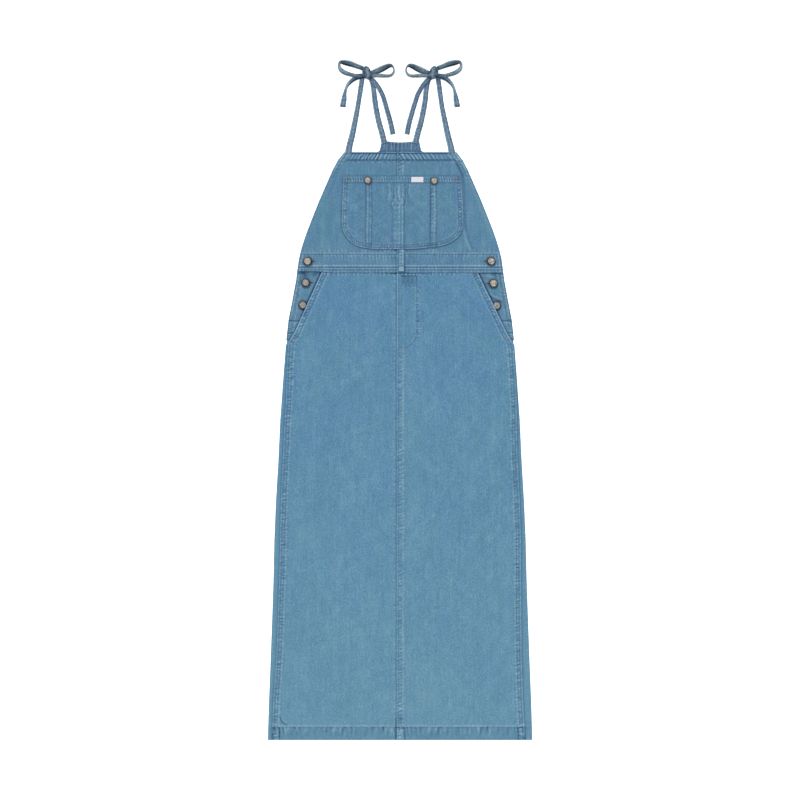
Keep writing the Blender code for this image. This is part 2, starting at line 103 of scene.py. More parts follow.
POCKET_EDGES = {
    # side: rows of height, distance of the slanted pocket mouth from the centre line
    -1: ((116.4, 222.4), (131.8, 213.1), (253.4, 158.2), (262.6, 154.2)),
    1: ((113.6, 225.4), (129.2, 214.8), (253.4, 155), (262.6, 150.8)),
}

SKIRT_FOLDS = (
    # start_x, start_y, end_x, end_y, half_width, rise
    (-46.6, 67, -124.4, 12.4, 16, 1.2), (-60, 40, -118, -8, 11, -0.7),
    (23.6, 36.4, 27.4, -103.6, 13, 1.2), (36, 20, 41, -90, 12, -0.8),
    (85.8, 52.4, 82, -41.6, 14, -1), (100, 60, 98, -60, 14, 0.9),
    (194.8, -65.6, 148, -205.6, 18, 1.5), (176, -50, 130, -190, 15, -0.9),
    (70, -235.6, 20, -337.6, 19, 1.3), (92, -240, 50, -340, 15, -0.8),
    (100, -361.6, 20, -445.6, 20, 1.5), (54, -485.6, 16, -523.6, 13, 1.1),
    (226, -477.6, 194, -571.6, 17, 1.5), (194, -571.6, 140, -641.6, 17, 1.4),
    (206, -470, 176, -556, 14, -0.9), (-24, -375.6, -110, -407.6, 16, 1.1),
    (-164, -49.6, -152, -181.6, 17, 1.3), (-184, -30, -176, -170, 14, -0.8),
    (-186.6, -571, -109.2, -625.6, 18, 1.3), (-200, 40, -190, -40, 14, 1),
    (-90, -160, -70, -270, 20, 1), (-170, -300, -140, -450, 21, 1.3),
    (-46.6, 254, -42.6, 206, 7, -0.7), (-140, 248, -136, 60, 9, -0.7),
    (-112, 250, -118, 130, 10, 0.6), (54, 238, 94, 198, 8, 0.7),
    (-204, 86, -168, 64, 8, 0.8), (206, 74, 170, 40, 9, 0.8),
)
BIB_FOLDS = (
    # start_x, start_y, end_x, end_y, half_width, rise
    (-150, 400, -158, 300, 5, 0.5), (-170, 350, -176, 296, 5, -0.5),
    (-126, 350, -134, 300, 6, 0.4), (-90, 470, -104, 452, 5, 0.5),
    (60, 468, 84, 448, 5, 0.5), (92, 470, 108, 450, 5, 0.5),
    (168, 360, 176, 300, 6, 0.4), (150, 430, 158, 380, 6, -0.4),
    (22, 462, 46, 450, 5, -0.4),
)
CASING_ROPES = {
    # side: slant, bend and length of the gathers, wear, uneven wear
    -1: (-0.62, 1.4, 7.4, 0, 1.3),
    1: (0.7, 1.2, 8.6, 0.02, 1.1),
}
ARMHOLE_DENTS = {
    # side: a short line beside the groove, its offset, half width, rise, painted shade and uneven wear
    -1: (((-120, 470), (-128, 455), (-134, 444)), (0, 3, -0.3, -0.3, 0)),
    1: (((112, 472), (118, 458), (126, 444)), (0, 5, -0.9, -0.55, 0)),
}
BIB_HEM_GROOVES = {
    # side: the turned edge of the armhole beneath, which shows through as a soft line: a groove with painted
    # shade in it and painted highlights beside it
    -1: ((-113, 476), (-120, 462), (-128, 444), (-138, 420), (-147, 400)),
    1: ((108, 480), (113.6, 470), (120, 458), (125.6, 444), (128.4, 420),
        (128.6, 390), (129, 360), (131.6, 338), (136, 320), (145, 300)),
}

POCKET_OUTLINE = (
    # height, left_x, right_x
    (299.8, -50, 18), (300.8, -61, 32), (302.4, -71.5, 50), (304.4, -81, 69),
    (308, -89.8, 88), (311.8, -96.2, 98), (317.4, -102.6, 107.4), (323.4, -107.8, 114.6),
    (330, -112, 119.8), (336.6, -115, 123), (345, -117, 125.2), (354.4, -117.6, 125.8),
    (390, -116.6, 124.8), (432, -114.6, 122.4), (445, -114, 121.8),
)


# ---- small mathematics
def smooth(low, high, value):
    """0 below low, 1 above high, and an even S between."""
    share = np.clip((value - low) / (high - low), 0, 1)
    return share * share * (3 - 2 * share)


def bell(value, width):
    return np.exp(-(value / width) ** 2)


def read(table, height, column=1):
    """A table's column at each height, straight between its rows."""
    rows = np.array(table)
    order = np.argsort(rows[:, 0])
    return np.interp(height, rows[order, 0], rows[order, column])


def half_width(height):
    return read(OUTLINE, height)


def ripple(along, length, seed):
    """Uneven puckers along a seam, about -1 to 1."""
    drift = 1.2 * np.sin(along / (2.7 * length) + seed) + 0.8 * np.sin(along / (1.1 * length) + 2.1 * seed)
    main = np.sin(2 * np.pi * along / length + drift)
    finer = np.sin(2 * np.pi * along / (0.71 * length) + 1.7 * drift + seed)
    strength = 0.8 + 0.35 * np.sin(along / (1.9 * length) + 3 * seed)
    return np.clip(strength * (0.8 * main + 0.45 * finer), -1.2, 1.2)


def patches(x, y, size, seed):
    """Soft uneven patches of about that size, about -1 to 1."""
    total = 0
    for step in range(6):
        turn = seed * 1.7 + step * 1.13
        reach = size * (0.75 + 0.13 * step)
        wave = (x * math.cos(turn) + y * math.sin(turn)) * 2 * np.pi / (reach * 2)
        total = total + np.sin(wave + 2.4 * np.sin(wave * 0.37 + turn) + seed * (step + 1))
    return total / 3.2


def spaced(start, end, step, fine=()):
    """Positions from start to end, a step apart, closer within each (low, high, step)."""
    places = [start]
    while places[-1] < end - 1e-6:
        here = places[-1]
        gap = min([step] + [near for low, high, near in fine if low - near <= here < high])
        places.append(here + gap)
    places = np.array(places)
    return start + (places - start) * (end - start) / (places[-1] - start)


def curve_through(table, count):
    """Rows along a table's own curve (Catmull-Rom)."""
    rows = np.array(table, dtype=float)
    padded = np.vstack((2 * rows[0] - rows[1], rows, 2 * rows[-1] - rows[-2]))
    places = np.linspace(0, len(rows) - 1, count)
    index = np.minimum(places.astype(int), len(rows) - 2)
    part = (places - index)[:, None]
    before, start, end, after = (padded[index + shift] for shift in range(4))
    return 0.5 * (2 * start + (end - before) * part
                  + (2 * before - 5 * start + 4 * end - after) * part ** 2
                  + (3 * start - before - 3 * end + after) * part ** 3)


def folds_rise(folds, x, y):
    """How far a table of soft folds lifts the cloth."""
    rise = np.zeros_like(x)
    for start_x, start_y, end_x, end_y, reach, height in folds:
        step_x, step_y = end_x - start_x, end_y - start_y
        share = ((x - start_x) * step_x + (y - start_y) * step_y) / (step_x ** 2 + step_y ** 2)
        part = np.clip(share, 0, 1)
        bend = 0.25 * reach * np.sin(part * 5 + start_x)
        away = np.hypot(x - start_x - part * step_x + bend, y - start_y - part * step_y)
        swell = 0.55 + 0.45 * np.sin(np.pi * part)
        rise += height * swell * bell(away, reach)
    return rise


def along_line(x, y, line):
    """Signed distance from a line (+ on its left), the length along it, and a mask of its ends."""
    points = np.array(line, dtype=float)
    nearest = np.full(x.shape, np.inf)
    signed, along = np.zeros_like(x), np.zeros_like(x)
    inside = np.ones(x.shape)
    run = 0
    last = len(points) - 2
    for index in range(len(points) - 1):
        step = points[index + 1] - points[index]
        length = np.hypot(*step)
        dx, dy = x - points[index, 0], y - points[index, 1]
        raw = (dx * step[0] + dy * step[1]) / length ** 2
        share = np.clip(raw, 0, 1)
        away = np.hypot(dx - share * step[0], dy - share * step[1])
        closer = away < nearest
        nearest = np.where(closer, away, nearest)
        signed = np.where(closer, away * np.sign(step[0] * dy - step[1] * dx), signed)
        along = np.where(closer, run + share * length, along)
        outside = ((raw < 0) & (index == 0)) | ((raw > 1) & (index == last))
        inside = np.where(closer, np.where(outside, 0, 1), inside)
        run += length
    return signed, along, inside


def beside(line, offset):
    """A line moved sideways, + to its left."""
    points = np.array(line, dtype=float)
    ahead = np.gradient(points, axis=0)
    ahead /= np.linalg.norm(ahead, axis=1)[:, None]
    return points + offset * np.stack((-ahead[:, 1], ahead[:, 0]), axis=1)


def with_heights(lines, y_rows):
    """A grid from lines of places across, one line at each height."""
    across = np.array(lines)
    return across, np.repeat(y_rows[:, None], across.shape[1], axis=1)


def tube_faces(rings, around, first=0, capped=True):
    """Faces of a tube: rings of points, each closed on itself, and its two ends."""
    faces = []
    for start in range(first, first + (rings - 1) * around, around):
        for side in range(around):
            after = (side + 1) % around
            faces.append((start + side, start + after, start + around + after, start + around + side))
    if capped:
        faces.append([first + side for side in range(around)][::-1])
        faces.append([start + around + side for side in range(around)])
    return faces


# ---- cloth shells
SHARP_ANGLE = math.radians(55)


class Cloth:
    """A piece of cloth on a grid: its places, its lower and upper face, and its wear and painted shade."""

    def __init__(self, node, x, y, low, wall=WALL):
        self.node, self.x, self.y = node, x, y
        self.low = low + np.zeros_like(x)
        self.high = self.low + wall
        self.wear_and_shade = np.zeros_like(x)
        self.pucker = np.zeros_like(x)

    def mark(self, distance, width, rise, wear_and_shade, uneven=0, wave=0, mask=1):
        """Raises the cloth near distance 0 and changes its wear and painted shade there, more on the puckers'
        ridges.
        """
        near = bell(distance, width) * mask
        self.high = self.high + near * (rise + PUCKER_RISE * uneven * wave)
        self.wear_and_shade = self.wear_and_shade + near * (wear_and_shade + uneven * wave)
        slope = np.abs(np.gradient(distance, axis=1) / np.gradient(self.x, axis=1))
        upright = np.clip(2 * slope - 1, -1, 1)
        self.pucker = self.pucker + near * abs(uneven) * upright

    def spread(self, mask, wear_and_shade, uneven, wave):
        """Puckers, wear and painted shade all over a masked part."""
        self.high = self.high + PUCKER_RISE * uneven * wave * mask
        self.wear_and_shade = self.wear_and_shade + (wear_and_shade + uneven * wave) * mask

    def seam(self, line, marks, length=9, slant=0, seed=1, mask=1):
        """Marks beside a line, with puckers that slant across them."""
        distance, along, inside = along_line(self.x, self.y, line)
        wave = ripple(along + slant * distance, length, seed)
        for offset, width, rise, wear_and_shade, uneven in marks:
            self.mark(distance - offset, width, rise, wear_and_shade, uneven, wave, inside * mask)

    def round_rim(self, radius):
        """Rounds the upper face down at the grid's rim."""
        steps = [np.hypot(np.diff(self.x, axis=1), np.diff(self.y, axis=1)),
                 np.hypot(np.diff(self.x, axis=0), np.diff(self.y, axis=0))]
        across = np.concatenate((np.zeros_like(self.x[:, :1]), np.cumsum(steps[0], axis=1)), axis=1)
        upward = np.concatenate((np.zeros_like(self.x[:1]), np.cumsum(steps[1], axis=0)), axis=0)
        near = np.minimum.reduce((across, across[:, -1:] - across, upward, upward[-1:] - upward))
        inner = np.clip(radius - near, 0, radius)
        self.high = self.high - (radius - np.sqrt(np.maximum(radius ** 2 - inner ** 2, 0)))

    def faces(self):
        """The grid's faces twice, above and below, and the rim between them."""
        index = np.arange(self.x.size).reshape(self.x.shape)
        corners = [index[:-1, :-1], index[:-1, 1:], index[1:, 1:], index[1:, :-1]]
        upper = np.stack([corner.ravel() for corner in corners], axis=1)
        rim = np.concatenate((index[0], index[1:, -1], index[-1, -2::-1], index[-2:0:-1, 0]))
        after = np.roll(rim, -1)
        wall = np.stack((rim, rim + index.size, after + index.size, after), axis=1)
        return np.vstack((upper, upper[:, ::-1] + index.size, wall))

    def finish(self, looks, rim=1, ending="_cloth"):
        """Builds one closed shell that stands for the node."""
        self.round_rim(rim)
        high = np.maximum(self.high, self.low + THINNEST)
        self.top = np.stack((self.x, self.y, high), axis=-1).reshape(-1, 3)
        foot = np.stack((self.x, self.y, self.low), axis=-1).reshape(-1, 3)
        piece = new_piece(self.node + ending, np.vstack((self.top, foot)), self.faces(), looks)
        under = np.zeros(self.x.size)
        add_point_values(piece, np.concatenate((self.wear_and_shade.ravel(), under + UNDERSIDE_SHADE)))
        add_point_values(piece, np.concatenate((self.pucker.ravel(), under)), "pucker")
        self.tree = kdtree.KDTree(self.x.size)
        for number, point in enumerate(self.top):
            self.tree.insert((point[0], point[1], 0), number)
        self.tree.balance()
        return finish_piece(piece, self.node)

    def height_at(self, x, y):
        """Height of the finished upper face near a place."""
        found = self.tree.find_n((x, y, 0), 3)
        return float(np.mean([self.top[number][2] for _, number, _ in found]))


def lean_left(points):
    """The garment lies a little further out along its left edge."""
    points = np.array(points, dtype=float)
    x, y = points[:, 0], points[:, 1]
    reach = read(LEFT_LEAN, y) * smooth(-16, -2, np.abs(x) - half_width(y)) * (y < BIB_TOP_Y)
    points[:, 0] = np.where(x < 0, x - reach, x)
    return points


def place_object(name, data):
    """An object in the scene for a mesh, a lamp or a camera."""
    item = bpy.data.objects.new(name, data)
    bpy.context.scene.collection.objects.link(item)
    return item


def new_piece(name, points, faces, looks, check=True):
    """A mesh object from points in millimetres."""
    if isinstance(faces, np.ndarray):
        faces = faces.tolist()
    mesh = bpy.data.meshes.new(name)
    mesh.from_pydata((lean_left(points) * MM).tolist(), [], faces)
    if check:
        mesh.validate()
    mesh.materials.append(looks)
    mesh.shade_smooth()
    mesh.set_sharp_from_angle(angle=SHARP_ANGLE)
    return place_object(name, mesh)


def add_point_values(piece, values, name="wear_and_shade"):
    """A value at each point that the denim's looks read."""
    layer = piece.data.attributes.new(name, "FLOAT", "POINT")
    layer.data.foreach_set("value", np.asarray(values, dtype=np.float32))


def finish_piece(piece, node):
    """The piece rides on the body and stands for its node, whose solid it hides."""
    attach(piece, "root")
    if node:
        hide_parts(node)
    return piece


# ---- materials
WEAR_AND_SHADE_SHARE = 0.62
FLOOR_GLOW = 0.75


class Nodes:
    """Short calls for the nodes of one material."""

    def __init__(self, name):
        self.material = bpy.data.materials.new(name)
        self.material.use_nodes = True
        self.tree = self.material.node_tree
        self.shader = self.tree.nodes["Principled BSDF"]
        self.place = self.add("ShaderNodeTexCoord").outputs["Object"]

    def add(self, kind, settings=None, **inputs):
        """A node with its settings; i0, i1 and so on are inputs by number."""
        node = self.tree.nodes.new(kind)
        for key, value in (settings or {}).items():
            setattr(node, key, value)
        for key, value in inputs.items():
            socket = node.inputs[int(key[1:])] if key[1:].isdigit() else node.inputs[key]
            self.put(socket, value)
        return node

    def put(self, socket, value):
        if isinstance(value, bpy.types.NodeSocket):
            self.tree.links.new(value, socket)
        else:
            socket.default_value = value

    def math(self, operation, first, second=0, clamp=False):
        return self.add("ShaderNodeMath", {"operation": operation, "use_clamp": clamp},
                        i0=first, i1=second).outputs[0]

    def times(self, first, second, clamp=False):
        return self.math("MULTIPLY", first, second, clamp)

    def plus(self, total, *others):
        for other in others:
            total = self.math("ADD", total, other)
        return total

    def swing(self, noise, strength):
        """How far a noise lies from its middle."""
        return self.times(self.math("SUBTRACT", noise, 0.5), strength)

    def noise(self, scale, detail, roughness=0.5):
        """Noise of one scale, or of a scale along each axis."""
        place = self.place
        if isinstance(scale, tuple):
            place, scale = self.add("ShaderNodeMapping", Vector=place, Scale=scale).outputs[0], 1
        return self.add("ShaderNodeTexNoise", Vector=place, Scale=scale, Detail=detail,
                        Roughness=roughness).outputs["Fac"]

    def attribute(self, name):
        return self.add("ShaderNodeAttribute", {"attribute_name": name}).outputs["Fac"]

    def mix(self, share, first, second):
        return self.add("ShaderNodeMix", {"data_type": "RGBA"}, i0=share, i6=first, i7=second).outputs[2]

    def span(self, value, low, high, out_low=0, out_high=1):
        return self.add("ShaderNodeMapRange", i0=value, i1=low, i2=high, i3=out_low, i4=out_high).outputs[0]

    def bump(self, strength, distance, height):
        return self.add("ShaderNodeBump", Strength=strength, Distance=distance, Height=height).outputs[0]

    def surface(self, values):
        """The finished material, with the shader's own sockets set or linked."""
        for key, value in values.items():
            self.put(self.shader.inputs[key], value)
        return self.material


def linear(red, green, blue):
    """A colour given as sRGB from 0 to 255."""
    parts = [value / 255 for value in (red, green, blue)]
    return tuple(part / 12.92 if part <= 0.04045 else ((part + 0.055) / 1.055) ** 2.4
                 for part in parts) + (1,)


def denim(name, *colours, strength=1):
    """Washed twill: warp streaks, a mottled wash, a diagonal weave, and wear at the seams with painted light
    and shade, read from each point.
    """
    body, washed, pale, deep, faded = (linear(*colour) for colour in colours)
    n = Nodes(name)
    slub, grain = n.noise((900, 70, 200), 2, 0.6), n.noise((640, 380, 300), 2, 0.7)
    streak, weft = n.noise((260, 16, 60), 3, 0.6), n.noise((60, 900, 200), 2)
    x, y, _ = n.add("ShaderNodeSeparateXYZ", i0=n.place).outputs
    twill = n.math("SINE", n.plus(n.times(x, 5200), n.times(y, 3400)))
    tone = n.plus(n.noise(7, 4, 0.55), n.noise((55, 14, 30), 3, 0.6))
    colour = n.mix(n.span(tone, 0.7, 1.3), body, washed)
    colour = n.mix(n.span(y, 0.25, -0.65, 0, 0.55), colour, faded)
    light = n.swing(n.noise(45, 4, 0.6), 0.2 * strength)
    for value, share in ((streak, 0.34), (slub, 0.5), (grain, 1.6), (weft, 0.12)):
        light = n.plus(light, n.swing(value, share * strength))
    light = n.plus(light, n.times(twill, 0.03))
    colour = n.mix(n.math("MAXIMUM", light, 0), colour, GLINT)
    colour = n.mix(n.math("MAXIMUM", n.times(light, -1), 0), colour, deep)
    # Small ridges across the puckers: rungs beside upright seams, bars beside level ones.
    pucker = n.attribute("pucker")
    rungs = n.swing(n.noise((120, 400, 100), 1.5), n.math("MAXIMUM", pucker, 0))
    bars = n.swing(n.noise((380, 120, 100), 1.5), n.math("MINIMUM", pucker, 0))
    ridges = n.math("SUBTRACT", n.times(rungs, RUNG_CONTRAST), n.times(bars, BAR_CONTRAST))
    # Each point's wear and painted light and shade, with the puckers' ridges, mixed towards pale and deep.
    wear_and_shade = n.times(n.plus(n.attribute("wear_and_shade"), ridges), n.span(grain, 0.3, 0.7, 0.75, 1.25))
    colour = n.mix(n.times(wear_and_shade, WEAR_AND_SHADE_SHARE, True), colour, pale)
    colour = n.mix(n.times(wear_and_shade, -WEAR_AND_SHADE_SHARE, True), colour, deep)
    relief = n.plus(n.times(twill, 0.35), n.times(slub, 0.9), n.times(grain, 0.8), n.times(ridges, 0.7))
    return n.surface({"Base Color": colour, "Normal": n.bump(0.5, 0.00025, relief), "Roughness": 0.92,
                      "Specular IOR Level": 0.12, "Sheen Weight": 0.08, "Sheen Roughness": 0.6})


def thread(name, colour, dark):
    """Twisted cotton thread with a little unevenness."""
    n = Nodes(name)
    colour = n.mix(n.span(n.noise(500, 3, 0.6), 0.3, 0.7), linear(*colour), linear(*dark))
    return n.surface({"Base Color": colour, "Roughness": 0.8, "Specular IOR Level": 0.2})


def button_metal(name, face, rim, face_end):
    """Antiqued metal: a mottled dull face with a darker groove, and a dark rim, partly dark metal and partly
    painted shade where it turns down.
    """
    face, rim = linear(*face), linear(*rim)
    n = Nodes(name)
    reach = n.attribute("reach")
    groove = n.times(n.span(reach, 0.5, 0.56), n.span(reach, 0.64, 0.58))
    edge = n.span(reach, face_end - 0.06, face_end + 0.06)
    tarnish = n.noise(520, 4, 0.65)
    colour = n.mix(n.span(tarnish, 0.42, 0.66, 0, 0.45), face, rim)
    colour = n.mix(n.span(n.noise(360, 2), 0.46, 0.66, 0, 0.6), colour, rim)
    colour = n.mix(n.math("MAXIMUM", n.times(groove, 0.35), edge), colour, rim)
    return n.surface({"Base Color": colour, "Metallic": 0.6, "Normal": n.bump(0.4, 0.0002, tarnish),
                      "Roughness": n.span(tarnish, 0.3, 0.7, 0.42, 0.6)})


def woven_white():
    """White satin-woven tape."""
    n = Nodes("white_tape")
    weave = n.noise((900, 2600, 900), 2)
    colour = n.mix(n.span(weave, 0.3, 0.7), linear(236, 236, 240), linear(214, 216, 224))
    return n.surface({"Base Color": colour, "Normal": n.bump(0.5, 0.0002, weave), "Roughness": 0.75})


def floor_white():
    """A nearly even white with a little glow, as the photo shows no shadow."""
    n = Nodes("floor_white")
    colour = n.mix(n.span(n.noise(3, 2), 0.3, 0.7), (0.96, 0.96, 0.96, 1), (0.97, 0.97, 0.97, 1))
    return n.surface({"Base Color": colour, "Roughness": 0.95, "Emission Color": (1, 1, 1, 1),
                      "Emission Strength": FLOOR_GLOW})


# Colours in sRGB. Denim: its body, where it is washed, pale where worn or painted light, deep where unworn or
# painted shade, and faded towards the hem.
GLINT = linear(150, 196, 226)
WORN_AND_SHADED = ((172, 198, 210), (46, 80, 116), (110, 156, 175))
denim_skirt = denim("denim_skirt", (89, 134, 173), (90, 141, 167), *WORN_AND_SHADED)
denim_bib = denim("denim_bib", (88, 129, 165), (89, 137, 160), *WORN_AND_SHADED, strength=0.85)
denim_dark = denim("denim_dark", (91, 132, 163), (91, 139, 160), *WORN_AND_SHADED)
denim_reverse = denim("denim_reverse", (76, 110, 148), (86, 120, 148), (158, 176, 188), (36, 58, 92),
                      (90, 120, 146), strength=1.3)
denim_tie = denim("denim_tie", (96, 120, 150), (100, 128, 148), (172, 192, 200), (36, 52, 76),
                  (96, 122, 150), strength=1.3)
denim_bow = denim("denim_bow", (86, 109, 134), (98, 120, 130), (172, 188, 194), (28, 42, 58),
                  (88, 110, 134), strength=1.3)
metal_shank = button_metal("pewter_shank", (216, 209, 199), (58, 53, 53), 0.77)
# A darker face for the upper left and both lower side buttons.
metal_darker = button_metal("pewter_darker", (194, 187, 178), (54, 49, 50), 0.75)
metal_copper = button_metal("pewter_copper", (208, 200, 190), (88, 80, 78), 0.72)
metal_brass = button_metal("pewter_brass", (204, 204, 192), (88, 86, 82), 0.72)
white_tape = woven_white()


# ---- stitches
STITCH_LENGTH, STITCH_WIDTH, STITCH_HEIGHT = 2.9, 0.75, 0.5
# share of the length, swell, lift
STITCH_RINGS = ((-0.5, 0.45, -0.5), (-0.22, 1, 0), (0.22, 1, 0), (0.5, 0.45, -0.5))
# share of the width, share of the height
STITCH_SECTION = ((-0.5, 0), (-0.28, 0.9), (0.28, 0.9), (0.5, 0), (0, -0.6))
TACK_LIFT, SLOT_LIFT = 0.15, 0.25


class Stitches:
    """Many short stitches of one thread, joined in one mesh."""

    def __init__(self, word, colour, dark):
        self.name, self.looks = "stitches_" + word, thread("thread_" + word, colour, dark)
        self.points, self.faces = [], []

    def one(self, x, y, z, turn, length=STITCH_LENGTH):
        """A stitch: a thread that dives in at both ends."""
        cos, sin = math.cos(turn), math.sin(turn)
        self.faces += tube_faces(len(STITCH_RINGS), len(STITCH_SECTION), len(self.points))
        for share, swell, lift in STITCH_RINGS:
            for across, up in STITCH_SECTION:
                u, v = share * length, across * STITCH_WIDTH * swell
                self.points.append((x + u * cos - v * sin, y + u * sin + v * cos,
                                    z + (up * swell + lift) * STITCH_HEIGHT))

    def row(self, line, cloth, pitch=3.6, lift=0):
        """Stitches along a line, on a cloth's upper face."""
        points = np.array(line, dtype=float)
        runs = np.concatenate(([0], np.cumsum(np.hypot(*np.diff(points, axis=0).T))))
        count = max(2, int(runs[-1] / pitch))
        for number in range(count):
            along = runs[-1] * (number + 0.5) / count
            span = (max(along - 1, 0), along, min(along + 1, runs[-1]))
            xs, ys = (np.interp(span, runs, points[:, axis]) for axis in (0, 1))
            turn = math.atan2(ys[2] - ys[0], xs[2] - xs[0])
            self.one(xs[1], ys[1], cloth.height_at(xs[1], ys[1]) + lift, turn)

    def tack(self, x, y, cloth, length, turn, width=2.4, pitch=0.55):
        """A bar tack: close stitches side by side across a short bar."""
        for along in np.linspace(-0.5, 0.5, max(3, int(length / pitch))) * length:
            here_x, here_y = x + along * math.cos(turn), y + along * math.sin(turn)
            self.one(here_x, here_y, cloth.height_at(here_x, here_y) + TACK_LIFT, turn + math.pi / 2, width)

    def build(self):
        finish_piece(new_piece(self.name, self.points, self.faces, self.looks), None)


pale_stitches = Stitches("pale", (196, 206, 214), (160, 180, 196))
blue_stitches = Stitches("blue", (122, 152, 176), (88, 120, 148))
tan_stitches = Stitches("tan", (142, 144, 150), (108, 116, 128))
rust_stitches = Stitches("rust", (142, 138, 154), (110, 114, 134))
dark_stitches = Stitches("dark", (58, 70, 92), (40, 50, 70))

# Stitched turned edges, from the edge inwards: offset, half width, rise, wear and painted shade, uneven wear.
FELLED = ((1.5, 1.2, 0.1, 0.2, 0.35), (4.2, 1.4, -0.3, -0.6, 0.35), (6.8, 1.6, 0.25, 0.08, 0.6),
          (9.2, 1.3, -0.3, -0.5, 0.4), (12.2, 1.5, 0.15, 0.34, 0.4), (15.8, 1.6, -0.1, -0.15, 0.15))
MOUTH = ((-0.4, 0.9, 0, -0.5, 0.1), (1.7, 1.1, 0.1, 0.85, 0.25), (4.4, 1.4, -0.3, -0.45, 1.1),
         (6.8, 1.4, 0.25, 0.15, 0.7), (9.8, 1.4, -0.3, -0.6, 0.4), (12.9, 1.5, 0.1, 0.32, 0.15))
LAP_ABOVE = ((1.6, 1, 0.1, 0.5, 0.12), (4.2, 1.1, -0.2, -0.42, 0.15))
LAP = ((1.4, 1, 0.1, 0.2, 0.3), (3.4, 1.1, -0.3, -0.4, 0.35), (7, 2.4, 0.2, -0.12, 0.55),
       (11.8, 1.3, 0.1, 0.3, 0.35), (14.4, 1.2, 0, 0.15, 0.25))
POCKET_RIM = ((1.3, 1, 0.1, 0.4, 0.35), (3.6, 1.1, -0.3, -0.5, 0.4), (5.9, 1.4, 0.3, 0, 0.85),
              (8.6, 1.2, -0.35, -0.5, 0.4), (11, 1.2, 0.1, 0.2, 0.2))
LOW_BUTTONS = {-1: (-195.4, 188.6), 1: (192.2, 187.6)}
UPPER_BUTTONS = {-1: (-189.6, 233), 1: (185.8, 231.8)}
WAIST_BUTTONS = {-1: (-185.5, 275.8), 1: (181.1, 276)}
RIVETS = {-1: (-65, 437.4), 1: (67.2, 436.8)}
SEAM_SHIFT = {-1: -0.7, 1: 0.7}


def flipped(marks):
    return tuple((-offset, *others) for offset, *others in marks)


# ---- skirt
LINE_STEP = 12
RIM_STEP, FINE_RIM, FINE_STEP = 1.25, 1.6, 0.4
BUTTON_LIFT = 3
STRIP_STEPS = 15
FOLD_TURNS = np.radians(np.linspace(90, -90, 11))
FACING_ROWS = (156.8, 132.6)


def front_edge(side, y):
    """Distance of a front panel's outer edge from the centre line."""
    pocket = POCKET_EDGES[side]
    lapped = half_width(y) - read(LAPS[side], y)
    return np.where(y >= pocket[0][0], read(pocket, y), lapped)


def edge_line(side, low, high, inset=0):
    """A panel's outer edge as a line upwards."""
    return [(side * (float(front_edge(side, y)) - inset), y) for y in spaced(low, high, LINE_STEP)]


def inwards(side, marks):
    """Marks for a line that runs upwards along the outer edge of one side."""
    return marks if side > 0 else flipped(marks)


def panel_grid(side, y_rows, edge_at, middle, step, rim, between):
    """A front panel's grid: fine at the centre line and near the outer edge, wider between them."""
    inner = UNDER_LAP_X if side < 0 else -LAP_X
    centre = spaced(-inner, middle, step, ((-inner, -inner + FINE_RIM, FINE_STEP),))
    outer = rim - spaced(0, rim, RIM_STEP, ((0, FINE_RIM, FINE_STEP),))[::-1]
    lines = []
    for y in y_rows:
        edge = float(edge_at(y))
        wide = np.linspace(centre[-1], edge - rim, between + 2)[1:-1]
        lines.append(np.concatenate((centre, wide, edge - rim + outer)))
    return with_heights(lines, y_rows)


def skirt_grid(side):
    y_rows = spaced(HEM_Y, WAIST_LOW_Y + TUCK, 2.7,
                    ((HEM_Y, HEM_Y + 2.2, 0.5), (HEM_Y, -650, 1.4), (236, 256, 1.8)))
    middle, step, between = (40, 1.35, 40) if side > 0 else (16, 2.4, 46)
    return panel_grid(side, y_rows, lambda y: front_edge(side, y), middle, step, 26, between)


def lap_rise(side, u):
    """How far the right panel rises where it laps over the left one."""
    return LAP_RISE * (1 - smooth(6, 14, u)) if side > 0 else 0


def over_lap(x):
    """How far a piece rises that lies across the lap."""
    return LAP_RISE * (smooth(-20, -9, x) - smooth(8, 20, x))


def turned_wall(turned):
    """The cloth is thicker where its edge is turned."""
    return WALL + (TURN_WALL - WALL) * turned


def button_lift(side, x, y):
    """How far the pocket mouth rises where it lies on the lowest side button."""
    button_x, button_y = LOW_BUTTONS[side]
    away = np.hypot(x - button_x - side * -3, 0.8 * (y - button_y))
    return BUTTON_LIFT * (1 - smooth(5, 26, away))


def skirt_base(side, x, y, u, inset):
    """Height of a front panel's lower face, with its seams, folds and the button beneath it."""
    seam_rise = SIDE_SEAM_RISE * (1 - smooth(110, 132, y)) * (1 - smooth(13, 26, inset))
    open_cloth = smooth(10, 34, inset) * smooth(10, 30, u) * smooth(HEM_Y, HEM_Y + 60, y)
    low = SKIRT_BASE + seam_rise + open_cloth * smooth(262, 236, y) * folds_rise(SKIRT_FOLDS, x, y)
    low = low + open_cloth * (0.35 * patches(x, y, 85, 1.3) + 0.2 * patches(x, y, 34, 4.2))
    return low + button_lift(side, x, y) + lap_rise(side, u)


